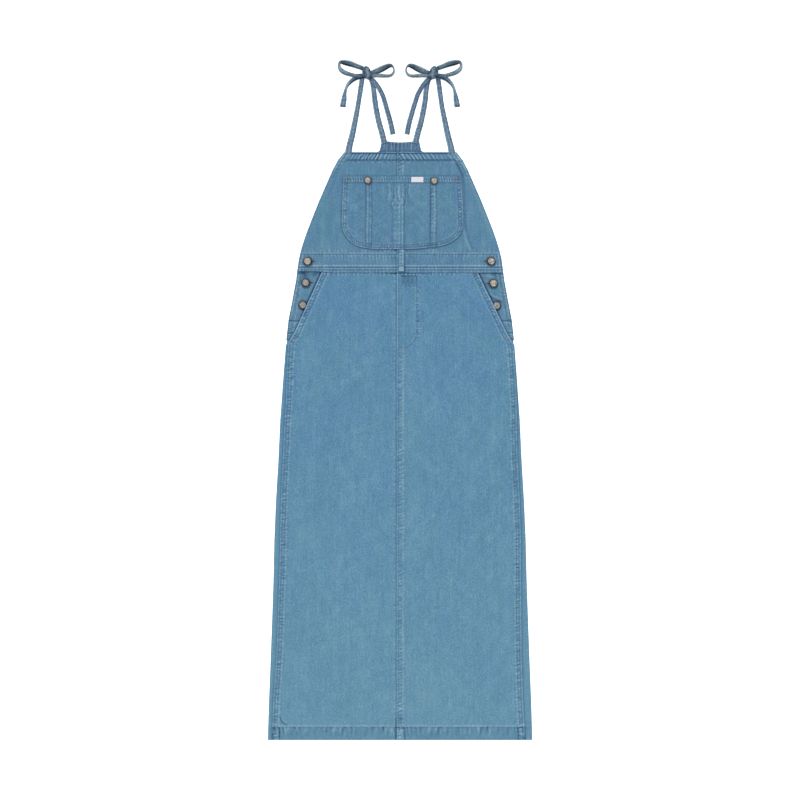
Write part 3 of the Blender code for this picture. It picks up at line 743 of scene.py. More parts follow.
def mark_skirt(cloth, side, inset):
    """Seams and hem of a front panel, with the tucks and the shade at the waistband."""
    x, y = cloth.x, cloth.y
    seed = 2 + side
    cloth.seam(edge_line(side, HEM_Y, 130, SEAM_SHIFT[side]), inwards(side, FELLED), 7, 0.25, seed,
               smooth(124, 112, y))
    cloth.seam(edge_line(side, 106, WAIST_LOW_Y + 6), inwards(side, MOUTH), 5.2, 0.1, seed + 1,
               smooth(112, 124, y))
    mark_hem(cloth, side, inset)
    cloth.spread(smooth(244, 251, y) * (inset > 3), 0.05, 0.6, ripple(x, 8, seed + 2))
    # Painted shadow below the waistband round the centre loop.
    loop_shadow_mask = smooth(249.2, 251.4, y) * smooth(56, 24, np.abs(x - 12))
    cloth.spread(loop_shadow_mask, -1, 0.4, ripple(x, 6, seed))
    cloth.spread(smooth(HEM_Y + 40, HEM_Y + 70, y) * smooth(14, 30, inset), 0, 0.09,
                 patches(x, 0.45 * y, 14, seed))
    if side > 0:
        mark_centre_seam(cloth)
        mark_fly(cloth)
    else:
        # Painted shadow beside the right panel's lapped edge.
        cloth.mark(x - LAP_X + 1, 1.2, -0.1, -0.75)
        cloth.mark(x - LAP_X + 4.6, 1.6, 0.1, 0.15, 0.3, ripple(y, 11, 3))
    mark_curved_crease(cloth, side)


def mark_centre_seam(cloth):
    """The felled centre seam, with a dark and a pale place above the hem."""
    x, y = cloth.x, cloth.y
    lap = [(LAP_X, HEM_Y), (LAP_X, WAIST_LOW_Y + TUCK)]
    fly_side = smooth(98, 108, y)
    cloth.seam(lap, flipped(LAP), 7, 0.4, 5, 1 - fly_side)
    cloth.seam(lap, flipped(LAP_ABOVE), 9, 0.4, 5, fly_side)
    cloth.mark(x + 1.5, 6, 0, -0.55, 0.3, ripple(y, 6, 2), bell(y + 640, 9))
    cloth.mark(x - 0.5, 5, 0, 0.4, 0.3, ripple(y, 7, 2), bell(y + 612, 12))


def build_skirt_front(word, side):
    """A front panel of the skirt, from the centre seam to the side seam and the pocket mouth."""
    u, y = skirt_grid(side)
    x = side * u
    inset = front_edge(side, y) - u
    hem = smooth(-651, -654, y) * (smooth(9, 24, u) if side < 0 else smooth(-30, -20, u))
    cloth = Cloth("skirt_front_" + word, x, y, skirt_base(side, x, y, u, inset), turned_wall(hem))
    mark_skirt(cloth, side, inset)
    piece = cloth.finish(denim_skirt)
    stitch_skirt(cloth, side)


def mark_hem(cloth, side, inset):
    """The turned hem: a pale row, uneven tucks below it, and thicker seam ends."""
    x, y = cloth.x, cloth.y
    from_row, from_foot = y - HEM_STITCH_Y, y - HEM_Y
    seed = 6 + side
    cloth.mark(from_row, 1.5, 0.1, 0.18, 0.3, ripple(x, 7, seed))
    cloth.mark(from_row + 3.2, 1.3, -0.3, -0.32, 0.35, ripple(x, 8, seed))
    fade = smooth(HEM_Y + 2, HEM_STITCH_Y - 6, y) * smooth(HEM_STITCH_Y, HEM_STITCH_Y - 4, y)
    cloth.spread(fade, -0.02, 0.75, ripple(x + 0.12 * y, 8, seed))
    cloth.spread(smooth(HEM_STITCH_Y, HEM_STITCH_Y - 3, y), -0.24, 0.1, patches(x, y, 12, seed))
    cloth.mark(from_foot - 0.9, 0.9, 0, 0.25, 0.2, ripple(x, 6, seed))
    end = smooth(HEM_STITCH_Y - 1.5, HEM_STITCH_Y - 4, y)
    for place in (0.6, 13.6):
        cloth.mark(inset - place, 1.4, -0.2, -1.3, mask=end)
    cloth.mark(inset - 7.2, 4.4, 0.35, 0.55, 0.15, ripple(y, 9, seed), end)
    cloth.mark(from_row + 3.2, 1.5, -0.2, -1, mask=smooth(14, 12, inset) * smooth(0, 2, inset))
    above = smooth(HEM_STITCH_Y + 22, HEM_STITCH_Y + 8, y) * smooth(HEM_STITCH_Y - 1, HEM_STITCH_Y + 2, y)
    cloth.mark(inset - 7, 4.6, 0.1, 0.42, 0.3, ripple(y, 6, seed + 3), above)
    cloth.mark(from_foot - 0.6, 0.9, 0, -0.35)
    if side > 0:
        cloth.mark(x + 0.6, 5.6, 0.3, 0.6, 0.15, ripple(y, 7, 1), end)
        cloth.mark(x - 8.4, 1.4, -0.2, -1.1, mask=end)
        cloth.mark(from_row + 3.6, 1.5, -0.2, -1.1, mask=smooth(9, 7, x))
    else:
        low_end = smooth(HEM_STITCH_Y + 30, HEM_STITCH_Y + 4, y)
        cloth.mark(x - LAP_X + 1.2, 1.5, -0.2, -1.3, mask=low_end)


def mark_curved_crease(cloth, side):
    """The short curved creases above the hem beside the left seam."""
    # Each crease: a dip with painted shade in it, and on the left a painted highlight beside it.
    if side > 0:
        cloth.seam([(232, -640), (226, -652)], ((0, 1.8, -0.3, -0.4, 0.1),), 9)
        return
    cloth.seam([(-241, -634), (-239, -641), (-235, -647), (-228, -651)],
               ((0, 1.6, -0.5, -1.1, 0.1), (3, 1.6, 0.3, 0.4, 0.1)), 9)


def stitch_skirt(cloth, side):
    for row in (4.2, 9.4):
        blue_stitches.row(edge_line(side, HEM_Y + 2, 112, row + SEAM_SHIFT[side]), cloth)
    for row in (4.8, 10.8):
        blue_stitches.row(edge_line(side, 118, WAIST_LOW_Y - 1, row), cloth)
    start = -8.5 if side < 0 else LAP_X + 1
    end = side * (float(front_edge(side, HEM_STITCH_Y)) - 1)
    pale_stitches.row([(start, HEM_STITCH_Y), (end, HEM_STITCH_Y)], cloth, 3.6, 0.12)
    if side > 0:
        for row in (LAP_X + 3.2, LAP_X + 9.4):
            blue_stitches.row([(row, HEM_Y + 2), (row, WAIST_LOW_Y - 1)], cloth)
        stitch_fly(cloth)
        rust_stitches.tack(151.4, 252.2, cloth, 6, 0, 3.2)
    tan_stitches.tack(side * (float(front_edge(side, 122)) - 6), 122, cloth, 9, side * -1.1)


FLY_LINE = ((30.8, 250), (30.8, 132.4), (29.6, 124), (26, 116.6), (20, 110.6),
            (13, 106), (5.8, 102.8))
FLY_BARS = (246.6, 232.6, 228)


def mark_fly(cloth):
    """The mock fly: a facing beneath, a curved row of stitching and three short bars above."""
    x, y = cloth.x, cloth.y
    cloth.high = cloth.high + 0.35 * (smooth(40, 36, x) * smooth(4, 8, x) * smooth(96, 106, y))
    cloth.seam(FLY_LINE, ((-0.4, 1.1, 0.15, 0.34, 0.2), (1.9, 1.2, -0.4, -0.5, 0.3)), 7, 0, 3)
    dots = smooth(118, 128, y) * smooth(232, 222, y)
    spots = ripple(y, 15, 6)
    cloth.mark(x - 35.6, 1.5, -0.3, -0.3, -0.65, spots, dots)
    cloth.mark(x - 38.2, 1.5, 0.2, 0.15, 0.35, spots, dots)
    bars = smooth(1, 3, x) * smooth(35, 32, x)
    for height, depth in zip(FLY_BARS, (1.3, 0.5, 0.6)):
        cloth.mark(y - height, 1.7, -0.35, -depth, 0.6, ripple(x, 6.5, height), bars)
    cloth.mark(y - 249.4, 1.1, 0, 0.3, 0.8, ripple(x, 7.5, 4), smooth(44, 38, x))
    between = smooth(FLY_BARS[1], FLY_BARS[1] + 3, y) * smooth(FLY_BARS[0], FLY_BARS[0] - 3, y)
    cloth.spread(between * bars, -0.5, 0.3, ripple(x, 9, 2))


def stitch_fly(cloth):
    blue_stitches.row(FLY_LINE, cloth, 3.2)
    rust_stitches.row([(3, FLY_BARS[1]), (31, FLY_BARS[1])], cloth, 3.6)
    rust_stitches.tack(0.6, 103.6, cloth, 6, 0, 3)


def bend_at(y):
    """Distance of the side fold's middle from the centre line."""
    return float(half_width(y)) - FOLD_RADIUS - WALL / 2


def back_half(side, y):
    """One side of a row of the back: its strip on the front and its fold, as x, z, and wear with painted
    shade.
    """
    edge, lap = float(half_width(y)), float(read(LAPS[side], y))
    strip = np.linspace(edge - lap - STRIP_UNDER, bend_at(y), STRIP_STEPS + 1)[:-1]
    xs = np.concatenate((strip, bend_at(y) + FOLD_RADIUS * np.cos(FOLD_TURNS)))
    heights = WALL / 2 + FOLD_RADIUS * (1 + np.sin(FOLD_TURNS))
    zs = np.concatenate((np.full(len(strip), heights[0]), heights))
    gap = edge - xs
    wave = ripple(np.full(len(xs), y), 10, side)
    # Painted shade: darker at the very fold where it turns down, and a painted shadow beside the front panel's
    # edge.
    rim = 0.1 * bell(gap - 2, 1.6) * (1 + 2.5 * wave) - 0.5 * bell(gap, 1.1)
    shadow = -0.75 * bell(gap - lap, 1.7) * (zs > 1.5)
    hem = bell(y - HEM_STITCH_Y, 1.6) * (0.35 + 0.3 * wave) - 0.35 * bell(y - HEM_STITCH_Y + 4, 2)
    return xs, zs, rim + shadow + hem


def back_row(y):
    """A row of the back, from the right strip under the middle to the left one: points, and wear with painted
    shade.
    """
    flat = np.linspace(bend_at(y), -bend_at(y), 48)[1:-1]
    flat_wear = 0.4 * bell(np.abs(flat + 1) - 6, 1.2) - 0.3 * bell(flat + 1, 3)
    right, left = back_half(1, y), back_half(-1, y)
    xs = np.concatenate((right[0], flat, -left[0][::-1]))
    zs = np.concatenate((right[1], np.full(len(flat), WALL / 2), left[1][::-1]))
    wear_and_shade = np.concatenate((right[2], flat_wear, left[2][::-1]))
    return np.stack((xs, np.full(len(xs), y), zs), axis=1), wear_and_shade


def build_skirt_back():
    """The back panel, flat on its underside, folded round both sides onto the front."""
    y_rows = spaced(HEM_Y, WAIST_LOW_Y, 5, ((HEM_Y, -650, 2),))
    y_rows = np.sort(np.append(y_rows, STRIP_TOP_Y))
    points, wear_and_shade = (np.array(part) for part in zip(*(back_row(y) for y in y_rows)))
    columns = points.shape[1]
    index = np.arange(wear_and_shade.size).reshape(wear_and_shade.shape)
    faces = np.stack((index[:-1, :-1], index[1:, :-1], index[1:, 1:], index[:-1, 1:]), axis=-1)
    bent = STRIP_STEPS + len(FOLD_TURNS)
    column = np.arange(columns - 1)
    underside = (column >= bent - 1) & (column < columns - bent)
    faces = faces[underside | (y_rows[1:, None] <= STRIP_TOP_Y)]
    used = np.unique(faces)
    piece = new_piece("skirt_back_cloth", points.reshape(-1, 3)[used], np.searchsorted(used, faces),
                      denim_skirt)
    add_point_values(piece, wear_and_shade.ravel()[used])
    shell = piece.modifiers.new("Wall", "SOLIDIFY")
    shell.thickness = WALL * MM
    shell.offset = 0
    shell.use_even_offset = True
    finish_piece(piece, "skirt_back")


def shade_button(cloth, x, y, radius, wear_and_shade=-0.85):
    """A painted shadow in a ring on the cloth round a button, deepest below it."""
    away = np.hypot(cloth.x - x + 0.6 * math.copysign(1, x), cloth.y - y + 1.1) - radius
    cloth.mark(away, 1.6, -0.1, wear_and_shade)


def facing_grid(side):
    y_rows = spaced(FACING_LOW_Y, WAIST_LOW_Y + TUCK, 1.8)
    rim = spaced(0, 20, 1.2, ((0, FINE_RIM, FINE_STEP),))
    lines = []
    for y in y_rows:
        outer, inner = float(half_width(y)), float(read(POCKET_EDGES[side], y)) - FACING_UNDER
        wide = rim[-1] + (outer - inner - rim[-1]) * np.linspace(0, 1, 30)[1:]
        lines.append(outer - np.concatenate((rim, wide)))
    return with_heights(lines, y_rows)


def mark_facing(cloth, side, outer, mouth):
    """Its rows along the outer edge, the painted shade under the pocket mouth, painted shadows round its
    buttons and below the waistband, and two rows across.
    """
    x, y = cloth.x, cloth.y
    seed = 7 + side
    wave = ripple(y + 0.3 * (side * x), 5, seed)
    for row, rise, wear_and_shade, uneven in ((0.5, 0.1, -1.1, 0.9), (4.2, 0.2, 0, 0.9), (8.2, -0.3, -0.4, 0.5),
                                    (11.6, 0.1, 0.3, 0.4)):
        cloth.mark(outer - row, 1.2, rise, wear_and_shade, uneven, wave)
    cloth.mark(mouth - 0.6, 2.6, -0.1, -1.7, mask=smooth(130, 215, y))
    cloth.mark(mouth + 0.4, 2.6, -0.1, -1.2)
    for buttons in (UPPER_BUTTONS, LOW_BUTTONS):
        shade_button(cloth, *buttons[side], 9.2)
    corner = smooth(238, 246, y) * smooth(24, 14, outer) * smooth(3, 7, outer)
    cloth.spread(corner, -0.35, 0.4, patches(x, y, 7, seed))
    for height in FACING_ROWS:
        within = smooth(-1, 2, mouth)
        cloth.mark(y - height, 1.5, -0.3, -0.8, 0.3, ripple(x, 6, height), within)
        cloth.mark(y - height + 3.2, 1.4, 0.15, 0.3, mask=within)
    # Painted shadow below the waistband's lower edge.
    cloth.mark(y - 251, 3, 0, -0.35)
    cloth.spread(smooth(238, 246, y) * smooth(5, 12, outer), -0.15, 0.5, patches(x, y, 12, seed))
    cloth.high = cloth.high + 0.3 * patches(x, y, 20, seed)
    cloth.spread(1, 0, 0.12, patches(x, y, 16, seed + 1))
    # On the right a sag in the facing: a ridge with a painted highlight and a trough with painted shade beside
    # it.
    if side > 0:
        cloth.seam([(172, 216), (186, 205), (204, 198)],
                   ((0, 2.2, 0.8, 0.4, 0.1), (-4, 2.4, -0.6, -0.9, 0.1)))


def build_side_facing(word, side):
    """The placket outside the pocket mouth, with its puckered double stitching."""
    u, y = facing_grid(side)
    cloth = Cloth("side_facing_" + word, side * u, y, FACING_BASE)
    mark_facing(cloth, side, half_width(y) - u, u - read(POCKET_EDGES[side], y))
    piece = cloth.finish(denim_dark)
    for row, stitches in ((4, pale_stitches), (9.6, blue_stitches)):
        line = [(side * (float(half_width(height)) - row), height) for height in spaced(160, 250, 8)]
        stitches.row(line, cloth, 3.2)
    for height in FACING_ROWS:
        first = side * (float(read(POCKET_EDGES[side], height)) + 1.5)
        dark_stitches.row([(first, height), (side * (float(half_width(height)) - 1), height)], cloth, 3)
    return cloth


# ---- waistband
BAND_ROWS = (
    # height, half width, rise, wear and painted shade, uneven wear
    (292.4, 1.2, 0.15, 0.35, 0.3), (289.4, 1.2, -0.35, -0.5, 0.3), (286.6, 1.3, 0.1, 0.12, 0.5),
    (266.8, 1.5, 0.3, 0.65, 0.35), (263.4, 1.2, -0.4, -0.75, 0.35), (261.2, 1.1, 0.05, 0.45, 0.4),
    (258.8, 1.1, -0.25, -0.4, 0.35), (254.6, 1, 0.1, 0.25, 0.5), (253, 0.8, 0, -0.3, 0.5),
)


def band_grid(y_rows, share, end_at):
    """Rows across a band, and the band's half width at each place."""
    y = np.repeat(y_rows[:, None], len(share), axis=1)
    end = end_at(y)
    return share[None, :] * end, y, end


def mark_waistband(cloth, from_end):
    """Puckers on the band and its lower flange, the rows of stitching, the seams, and painted shadows round
    the buttons.
    """
    x, y = cloth.x, cloth.y
    strength = 0.2 + 0.75 * smooth(272, 284, y) + 0.35 * smooth(276, 269, y)
    strength = strength * (0.7 + 0.4 * patches(x, y, 40, 3))
    cloth.spread(smooth(265, 267, y) * smooth(291, 288, y), -0.04, 0.5,
                 ripple(x + 0.15 * y, 6.4, 2.5) * strength)
    flange = smooth(253, 255, y) * smooth(264, 262, y)
    cloth.high = cloth.high - 0.35 * flange
    cloth.spread(flange, -0.05, 0.3, ripple(x, 7, 6))
    cloth.spread(1, 0, 0.14, patches(x, y, 22, 5))
    cloth.spread(smooth(36, 8, np.abs(x)) * smooth(266, 270, y), -0.15, 0.35, patches(x, y, 9, 4))
    for height, width, rise, wear_and_shade, uneven in BAND_ROWS:
        cloth.mark(y - height, width, rise, wear_and_shade, uneven, ripple(x, 7, height))
    for place, wear_and_shade in ((-156.8, -0.35), (121.8, -0.35), (-8.6, -0.55), (9, -1)):
        cloth.mark(x - place, 1.2, -0.25, wear_and_shade)
        cloth.mark(x - place - 2.8, 1.2, 0.1, 0.25)
    for inset, wear_and_shade in ((0.6, -0.5), (5.4, 0.4), (8.6, 0), (12, 0.2)):
        cloth.mark(from_end - inset, 1.1, 0.15 * np.sign(wear_and_shade), wear_and_shade, 0.5, ripple(y, 6, 1),
                   smooth(254, 256, y))
    for place in WAIST_BUTTONS.values():
        shade_button(cloth, *place, 9)


def stitch_waistband(cloth):
    for height, pitch, stitches in ((292, 3.6, pale_stitches), (266.6, 3.8, pale_stitches),
                                    (261.2, 3.6, pale_stitches), (258.6, 3.2, blue_stitches)):
        stitches.row([(-198, height), (-9, height)], cloth, pitch)
        stitches.row([(10, height), (198, height)], cloth, pitch)
    for side in (-1, 1):
        for inset, stitches in ((5, pale_stitches), (9.4, blue_stitches)):
            line = [(side * (float(half_width(height)) - inset), height) for height in (256, 291)]
            stitches.row(line, cloth, 3)


def build_waistband():
    y_rows = spaced(WAIST_LOW_Y, WAIST_HIGH_Y, 0.95, ((WAIST_LOW_Y, WAIST_LOW_Y + 1.5, FINE_STEP),
                                                      (WAIST_HIGH_Y - 1.5, WAIST_HIGH_Y, FINE_STEP)))
    share = spaced(-1, 1, 0.0078, ((-1, -0.99, 0.0025), (0.99, 1, 0.0025)))
    x, y, end = band_grid(y_rows, share, half_width)
    from_end = end - np.abs(x)
    low = SKIRT_BASE + LAP_RISE * smooth(0, 12, from_end)
    cloth = Cloth("waistband_front", x, y, low + over_lap(x))
    mark_waistband(cloth, from_end)
    # Its lower edge is a little narrower at the left end.
    cloth.y = y + 2.8 * smooth(-130, -180, x) * smooth(262, 256, y)
    piece = cloth.finish(denim_bib)
    stitch_waistband(cloth)
    return cloth


def build_waistband_back():
    y_rows = spaced(WAIST_LOW_Y + SEAM_GAP, WAIST_HIGH_Y, 4)
    x, y, _ = band_grid(y_rows, np.linspace(-1, 1, 60), lambda height: half_width(height) - 1.5)
    cloth = Cloth("waistband_back", x, y, 0)
    cloth.mark(y - 290, 2, 0, 0.4)
    piece = cloth.finish(denim_bib, rim=0)


def build_waist_loop():
    """The narrow strip down the middle of the waistband, tacked in a box at its foot."""
    y_rows = spaced(254.6, 299.2, 0.8, ((254.6, 256, 0.35),))
    x_columns = spaced(-4.4, 7.6, 0.7, ((-4.4, -3.2, 0.35), (6.4, 7.6, 0.35)))
    x, y = np.meshgrid(x_columns, y_rows)
    base = WAISTBAND_BASE + LAP_RISE + WALL + SEAM_GAP
    low = base + (5.8 - base) * smooth(294.2, 299.2, y)
    wall = WALL + 0.8 * smooth(266.6, 265, y) + 0.5 * bell(y - 266, 1.2)
    cloth = Cloth("waist_centre_loop", x, y, low, wall)
    box = smooth(266.4, 264.8, y)
    strip = 1 - box
    cloth.mark(x + 3.4, 1, -0.2, -0.5, mask=strip)
    cloth.mark(x - 0.2, 2.2, 0.1, 0.2, 0.4, ripple(y, 7, 2), strip)
    cloth.mark(x - 4.6, 1.2, 0.1, 0.7, 0.3, ripple(y, 8, 4), strip)
    cloth.spread(box, 0.75, 0.15, patches(x, y, 6, 2))
    # The dark lines at the box's sides and along the loop's foot are painted shade where the folded end turns
    # down.
    for place in (-4, 7.2):
        cloth.mark(x - place, 0.8, -0.1, -1.3, mask=box)
    cloth.mark(y - 266.2, 1, -0.2, -1.2)
    cloth.mark(y - 255, 0.7, 0, -1.2)
    piece = cloth.finish(denim_bib, rim=0.9)
    for place in (-2.4, 5.2):
        pale_stitches.row([(place, 268), (place, 292)], cloth, 3.2)
    pale_stitches.row([(-2.6, 258), (5.8, 258)], cloth, 3)


# ---- bib
def build_bib_front(word, side):
    low_y = WAIST_HIGH_Y - TUCK
    y_rows = spaced(low_y, BIB_TOP_Y, 2.2,
                    ((470, BIB_TOP_Y, 0.9), (BIB_TOP_Y - FINE_RIM, BIB_TOP_Y, FINE_STEP)))
    u, y = panel_grid(side, y_rows, half_width, 20, 1.35, 22, 60)
    x = side * u
    inset = half_width(y) - u
    low = BIB_BASE + (FACING_BASE - BIB_BASE) * (1 - smooth(0, 12, inset)) + lap_rise(side, u)
    casing = smooth(CASING_LOW_Y - 3, CASING_LOW_Y, y) * (smooth(2, 12, u) if side < 0 else 1)
    cloth = Cloth("bib_front_" + word, x, y, low, turned_wall(casing))
    free = smooth(14, 24, inset) * smooth(16, 26, u) * smooth(470, 456, y)
    cloth.high = cloth.high + free * (folds_rise(BIB_FOLDS, x, y) + 0.2 * patches(x, y, 30, 2))
    cloth.spread(free, 0, 0.14, patches(1.6 * x, 0.5 * y, 16, 3 + side))
    mark_armhole(cloth, side, inset)
    mark_casing(cloth, side, inset)
    shade_pocket(cloth)
    if side > 0:
        cloth.seam([(LAP_X, low_y), (LAP_X, BIB_TOP_Y)], flipped(LAP), 7, 0.5, 6)
    else:
        # Painted shadow beside the right panel's lapped edge.
        cloth.mark(x - LAP_X + 0.8, 1.2, -0.1, -0.6)
    cloth.spread(smooth(302, 295, y), 0.12, 0.35, ripple(x, 8, 3.3))
    piece = cloth.finish(denim_bib)
    stitch_bib(cloth, side)


def stitch_bib(cloth, side):
    row_y = 473.6
    start = LAP_X if side > 0 else -9
    blue_stitches.row([(start, row_y), (side * (float(half_width(row_y)) - 16), row_y)], cloth, 4.2)
    if side > 0:
        for row in (LAP_X + 3.2, LAP_X + 9.4):
            blue_stitches.row([(row, WAIST_HIGH_Y), (row, BIB_TOP_Y - 2)], cloth, 3.2)


def mark_armhole(cloth, side, inset):
    """The turned edge of the armhole: a groove that fades downwards and soft tucks at its top."""
    y = cloth.y
    wave = ripple(y, 7, 11 + side)
    cloth.mark(inset - 0.5, 1.2, 0.1, -0.6, 0.35, wave, 0.5 + 0.5 * smooth(320, 380, y))
    cloth.mark(inset - 6, 3.6, 0, 0.22 if side > 0 else 0, 0.1, wave, smooth(300, 340, y))
    top = smooth(430, 470, y)
    for place, rise, wear_and_shade in ((4.4, 0.25, 0.5), (8.2, -0.35, -0.5), (11.4, 0.2, 0.4)):
        cloth.mark(inset - place, 1.7, rise, wear_and_shade, 0.3, wave, top)
    # The groove is a dip with painted shade in it and painted highlights beside it; the short dent is a dip
    # with painted shade.
    strong = 1 if side > 0 else 0.5
    groove = ((0, 1.9, -0.5 * strong, -0.62 * strong, 0.08),
              (-side * 4.6, 2.8, 0.4 * strong, 0.34 * strong ** 2, 0),
              (side * 4.4, 3, 0.2 * strong, 0.05, 0))
    cloth.seam(BIB_HEM_GROOVES[side], groove, 30, 0, 2)
    dent, depth = ARMHOLE_DENTS[side]
    cloth.seam(dent, (depth,), 30)


def mark_casing(cloth, side, inset):
    """The gathered casing along the bib's top edge."""
    x, y = cloth.x, cloth.y
    open_part = smooth(12, 20, inset)
    inside = smooth(CASING_LOW_Y + 0.5, CASING_LOW_Y + 4, y) * smooth(BIB_TOP_Y - 2, BIB_TOP_Y - 5, y)
    slant, bend, length, pale, strength = CASING_ROPES[side]
    rope = ripple(x + slant * (y - CASING_LOW_Y) + bend * patches(x, y, 9, 2), length, 4)
    cloth.spread(inside * open_part, pale, strength, rope)
    corner = ripple(inset * 1.5 + 0.25 * y, 8, 3)
    cloth.spread(smooth(470, 478, y) * (1 - open_part), 0.1, 0.55, corner)
    over = smooth(33, 27, np.abs(x))
    cloth.mark(y - BIB_TOP_Y + 0.6, 0.8, 0, 0.25 + 0.8 * over, 0.2, rope, open_part)
    # Painted shade along the rolled top edge, where it turns down.
    cloth.mark(y - 491.6, 1.6, -0.35, -1.6, 0.25, rope, open_part)
    cloth.mark(y - 478.2, 1.6, -0.45, -1.3, 0.5, rope, open_part)
    cloth.mark(y - 473.8, 1.3, 0.15, 0.22, 0.5, ripple(x, 14, 3), open_part)


def shade_pocket(cloth):
    """A painted shadow on the bib just outside the pocket's edge and above its top."""
    line = beside(pocket_rim(), -1.2)
    cloth.seam(line, ((0, 1.3, 0, -0.75, 0.15),), 9)
    top = smooth(-114, -112, cloth.x) * smooth(122, 120, cloth.x)
    cloth.mark(cloth.y - 446.4, 1.5, 0, -0.55, mask=top)


def build_bib_back():
    """The back of the bib: its inner face shows above the front's top edge."""
    y_rows = spaced(294.2, 516.4, 5, ((486, 516.4, 1.1), (515, 516.4, FINE_STEP)))
    x, y, _ = band_grid(y_rows, np.linspace(-1, 1, 100), lambda height: read(BIB_BACK_OUTLINE, height))
    dip = 2 * (1 - np.clip(np.abs(x) / 26, 0, 1) ** 2) * smooth(505, 516.4, y)
    y = y - dip
    cloth = Cloth("bib_back", x, y, 0, WALL + 0.5 * smooth(506, 508, y))
    wave = ripple(x, 7, 5)
    cloth.mark(y - 514.6 + dip, 1.2, 0.1, 0.45, 0.6, wave)
    cloth.mark(y - 511 + dip, 1.3, -0.2, -0.45, 0.3, wave)
    cloth.spread(smooth(496, 503, y), 0, 0.5, wave)
    for place, rise, wear_and_shade in ((-9.4, -0.2, -0.9), (-7, 0.3, 0.4), (-1, -0.2, -0.6), (1.4, 0.1, 0.4),
                              (22, 0.1, 0.5), (-24, 0, -0.4)):
        cloth.mark(x - place, 1.3, rise, wear_and_shade)
    # Painted shadow just above the bib front's top edge.
    cloth.mark(y - 496, 2, 0, -0.4)
    piece = cloth.finish(denim_reverse)
    tan_stitches.row([(-34, 513.4), (34, 513.4)], cloth, 4.4)


def pocket_rim():
    """The pocket's outline from its top left corner down, round and up to its top right one."""
    left = [(row[1], row[0]) for row in POCKET_OUTLINE[::-1]]
    right = [(row[2], row[0]) for row in POCKET_OUTLINE]
    return left + right


PEN_LINES = (
    # place, half width, rise, wear and painted shade, uneven wear
    (-69.2, 1.5, -0.4, -0.7, 0.15), (-66, 1.2, 0.2, 0.7, 0.25), (-62.2, 1.2, -0.2, -0.4, 0.3),
    (-59.8, 1.1, 0.1, 0.5, 0.25), (-57.6, 1.2, -0.4, -0.75, 0.3), (59.8, 1.4, -0.4, -1.15, 0.25),
    (63, 1.5, 0.1, 0.05, 0.6), (68.2, 1.3, 0.2, 0.65, 0.3), (72.2, 1.3, -0.3, -0.6, 0.25),
)
CENTRE_LINES = (
    # place, half width, rise, wear and painted shade, uneven wear
    (-16, 1.8, -0.1, -0.4, 0.15), (-10, 1.8, 0.1, 0.15, 0.25), (-4.6, 1.8, 0, 0.15, 0.2),
    (-1.8, 1.2, 0.1, 0.45, 0.3), (0.6, 1.2, -0.2, -0.25, 0.15), (4.2, 1.3, 0.1, 0.7, 0.3),
    (7.6, 2, -0.2, -0.68, 0.12),
)
PEN_TACKS = (-62.2, 66.4)
POCKET_CREASES = (
    ((-26, 428), (-24, 414), (-27, 398)),
    ((-15, 420), (-12, 404), (-19, 390), (-15, 378)),
    ((-6, 424), (-8, 408), (-1, 396), (-6, 384)),
    ((5, 428), (3, 410), (9, 396), (5, 380)),
    ((16, 430), (14, 412), (19, 402)),
)


def mark_pocket(cloth):
    """The pocket's rim and hem, the pen slot's lines, creases with painted shade and highlights, dark rings
    round the pen tacks and painted shadows round the rivets.
    """
    x, y = cloth.x, cloth.y
    cloth.high = cloth.high + 0.2 * patches(x, y, 26, 6) + 0.1 * patches(x, y, 11, 2)
    cloth.spread(1, 0, 0.12, patches(x, y, 15, 6))
    cloth.seam(pocket_rim(), POCKET_RIM, 5.6, 0.7, 8)
    tucks = ripple(x + 0.2 * y, 5.2, 9)
    cloth.mark(y - 444, 1, 0, 0.15, 0.3, tucks)
    cloth.spread(smooth(434, 437, y) * smooth(445, 442.5, y), -0.2, 0.8, tucks)
    cloth.mark(y - 435.8, 1.2, 0.1, 0.45, 0.3, tucks)
    cloth.mark(y - 433, 1.4, -0.45, -0.8, 0.3, tucks)
    below_hem = smooth(432, 429, y)
    pen = below_hem * smooth(303, 306, y)
    for place, width, rise, wear_and_shade, uneven in PEN_LINES:
        bend = 0.6 * np.sin(y / 19 + 0.1 * place)
        cloth.mark(x - place - bend, width, rise, wear_and_shade, uneven, ripple(y, 8, place), pen)
    for place, width, rise, wear_and_shade, uneven in CENTRE_LINES:
        cloth.mark(x - place, width, rise, wear_and_shade, uneven, ripple(y, 10, place), below_hem)
    # Each crease: a dip with painted shade and a ridge with a painted highlight beside it.
    for line in POCKET_CREASES:
        cloth.seam(line, ((0, 1.3, -0.3, -0.55, 0.1), (2.6, 1.3, 0.3, 0.5, 0.1)))
    slot = smooth(386, 390, y) * below_hem
    for place in (-12.8, 9.8):
        cloth.mark(x - place, 1.1, -0.3, -0.6, mask=slot)
        cloth.mark(x - place + 2.4, 1.1, 0.1, 0.4, 0.3, ripple(y, 9, place), slot)
    for place in RIVETS.values():
        shade_button(cloth, *place, 8, -0.5)
    for place in PEN_TACKS:
        cloth.mark(np.hypot(x - place, 0.8 * (y - 306)) - 4.6, 1.2, -0.1, -0.6)


def stitch_pocket(cloth):
    for row in (3.4, 8.6):
        blue_stitches.row(beside(pocket_rim(), row)[1:-1], cloth, 3.4)
    blue_stitches.row([(-110, 433.2), (118, 433.2)], cloth, 3.4)
    for place in (-66.4, -59.6, 62, 68.6):
        blue_stitches.row([(place, 429), (place, 308)], cloth, 3.4)
    for place in PEN_TACKS:
        blue_stitches.tack(place, 306, cloth, 6, math.pi / 2, 7, 1.1)
    rust_stitches.tack(-12.4, 389.4, cloth, 3.2, 0, 2.6)
    for place in (-105, 111):
        tan_stitches.tack(place, 440, cloth, 9, 0, 5.6, 0.7)


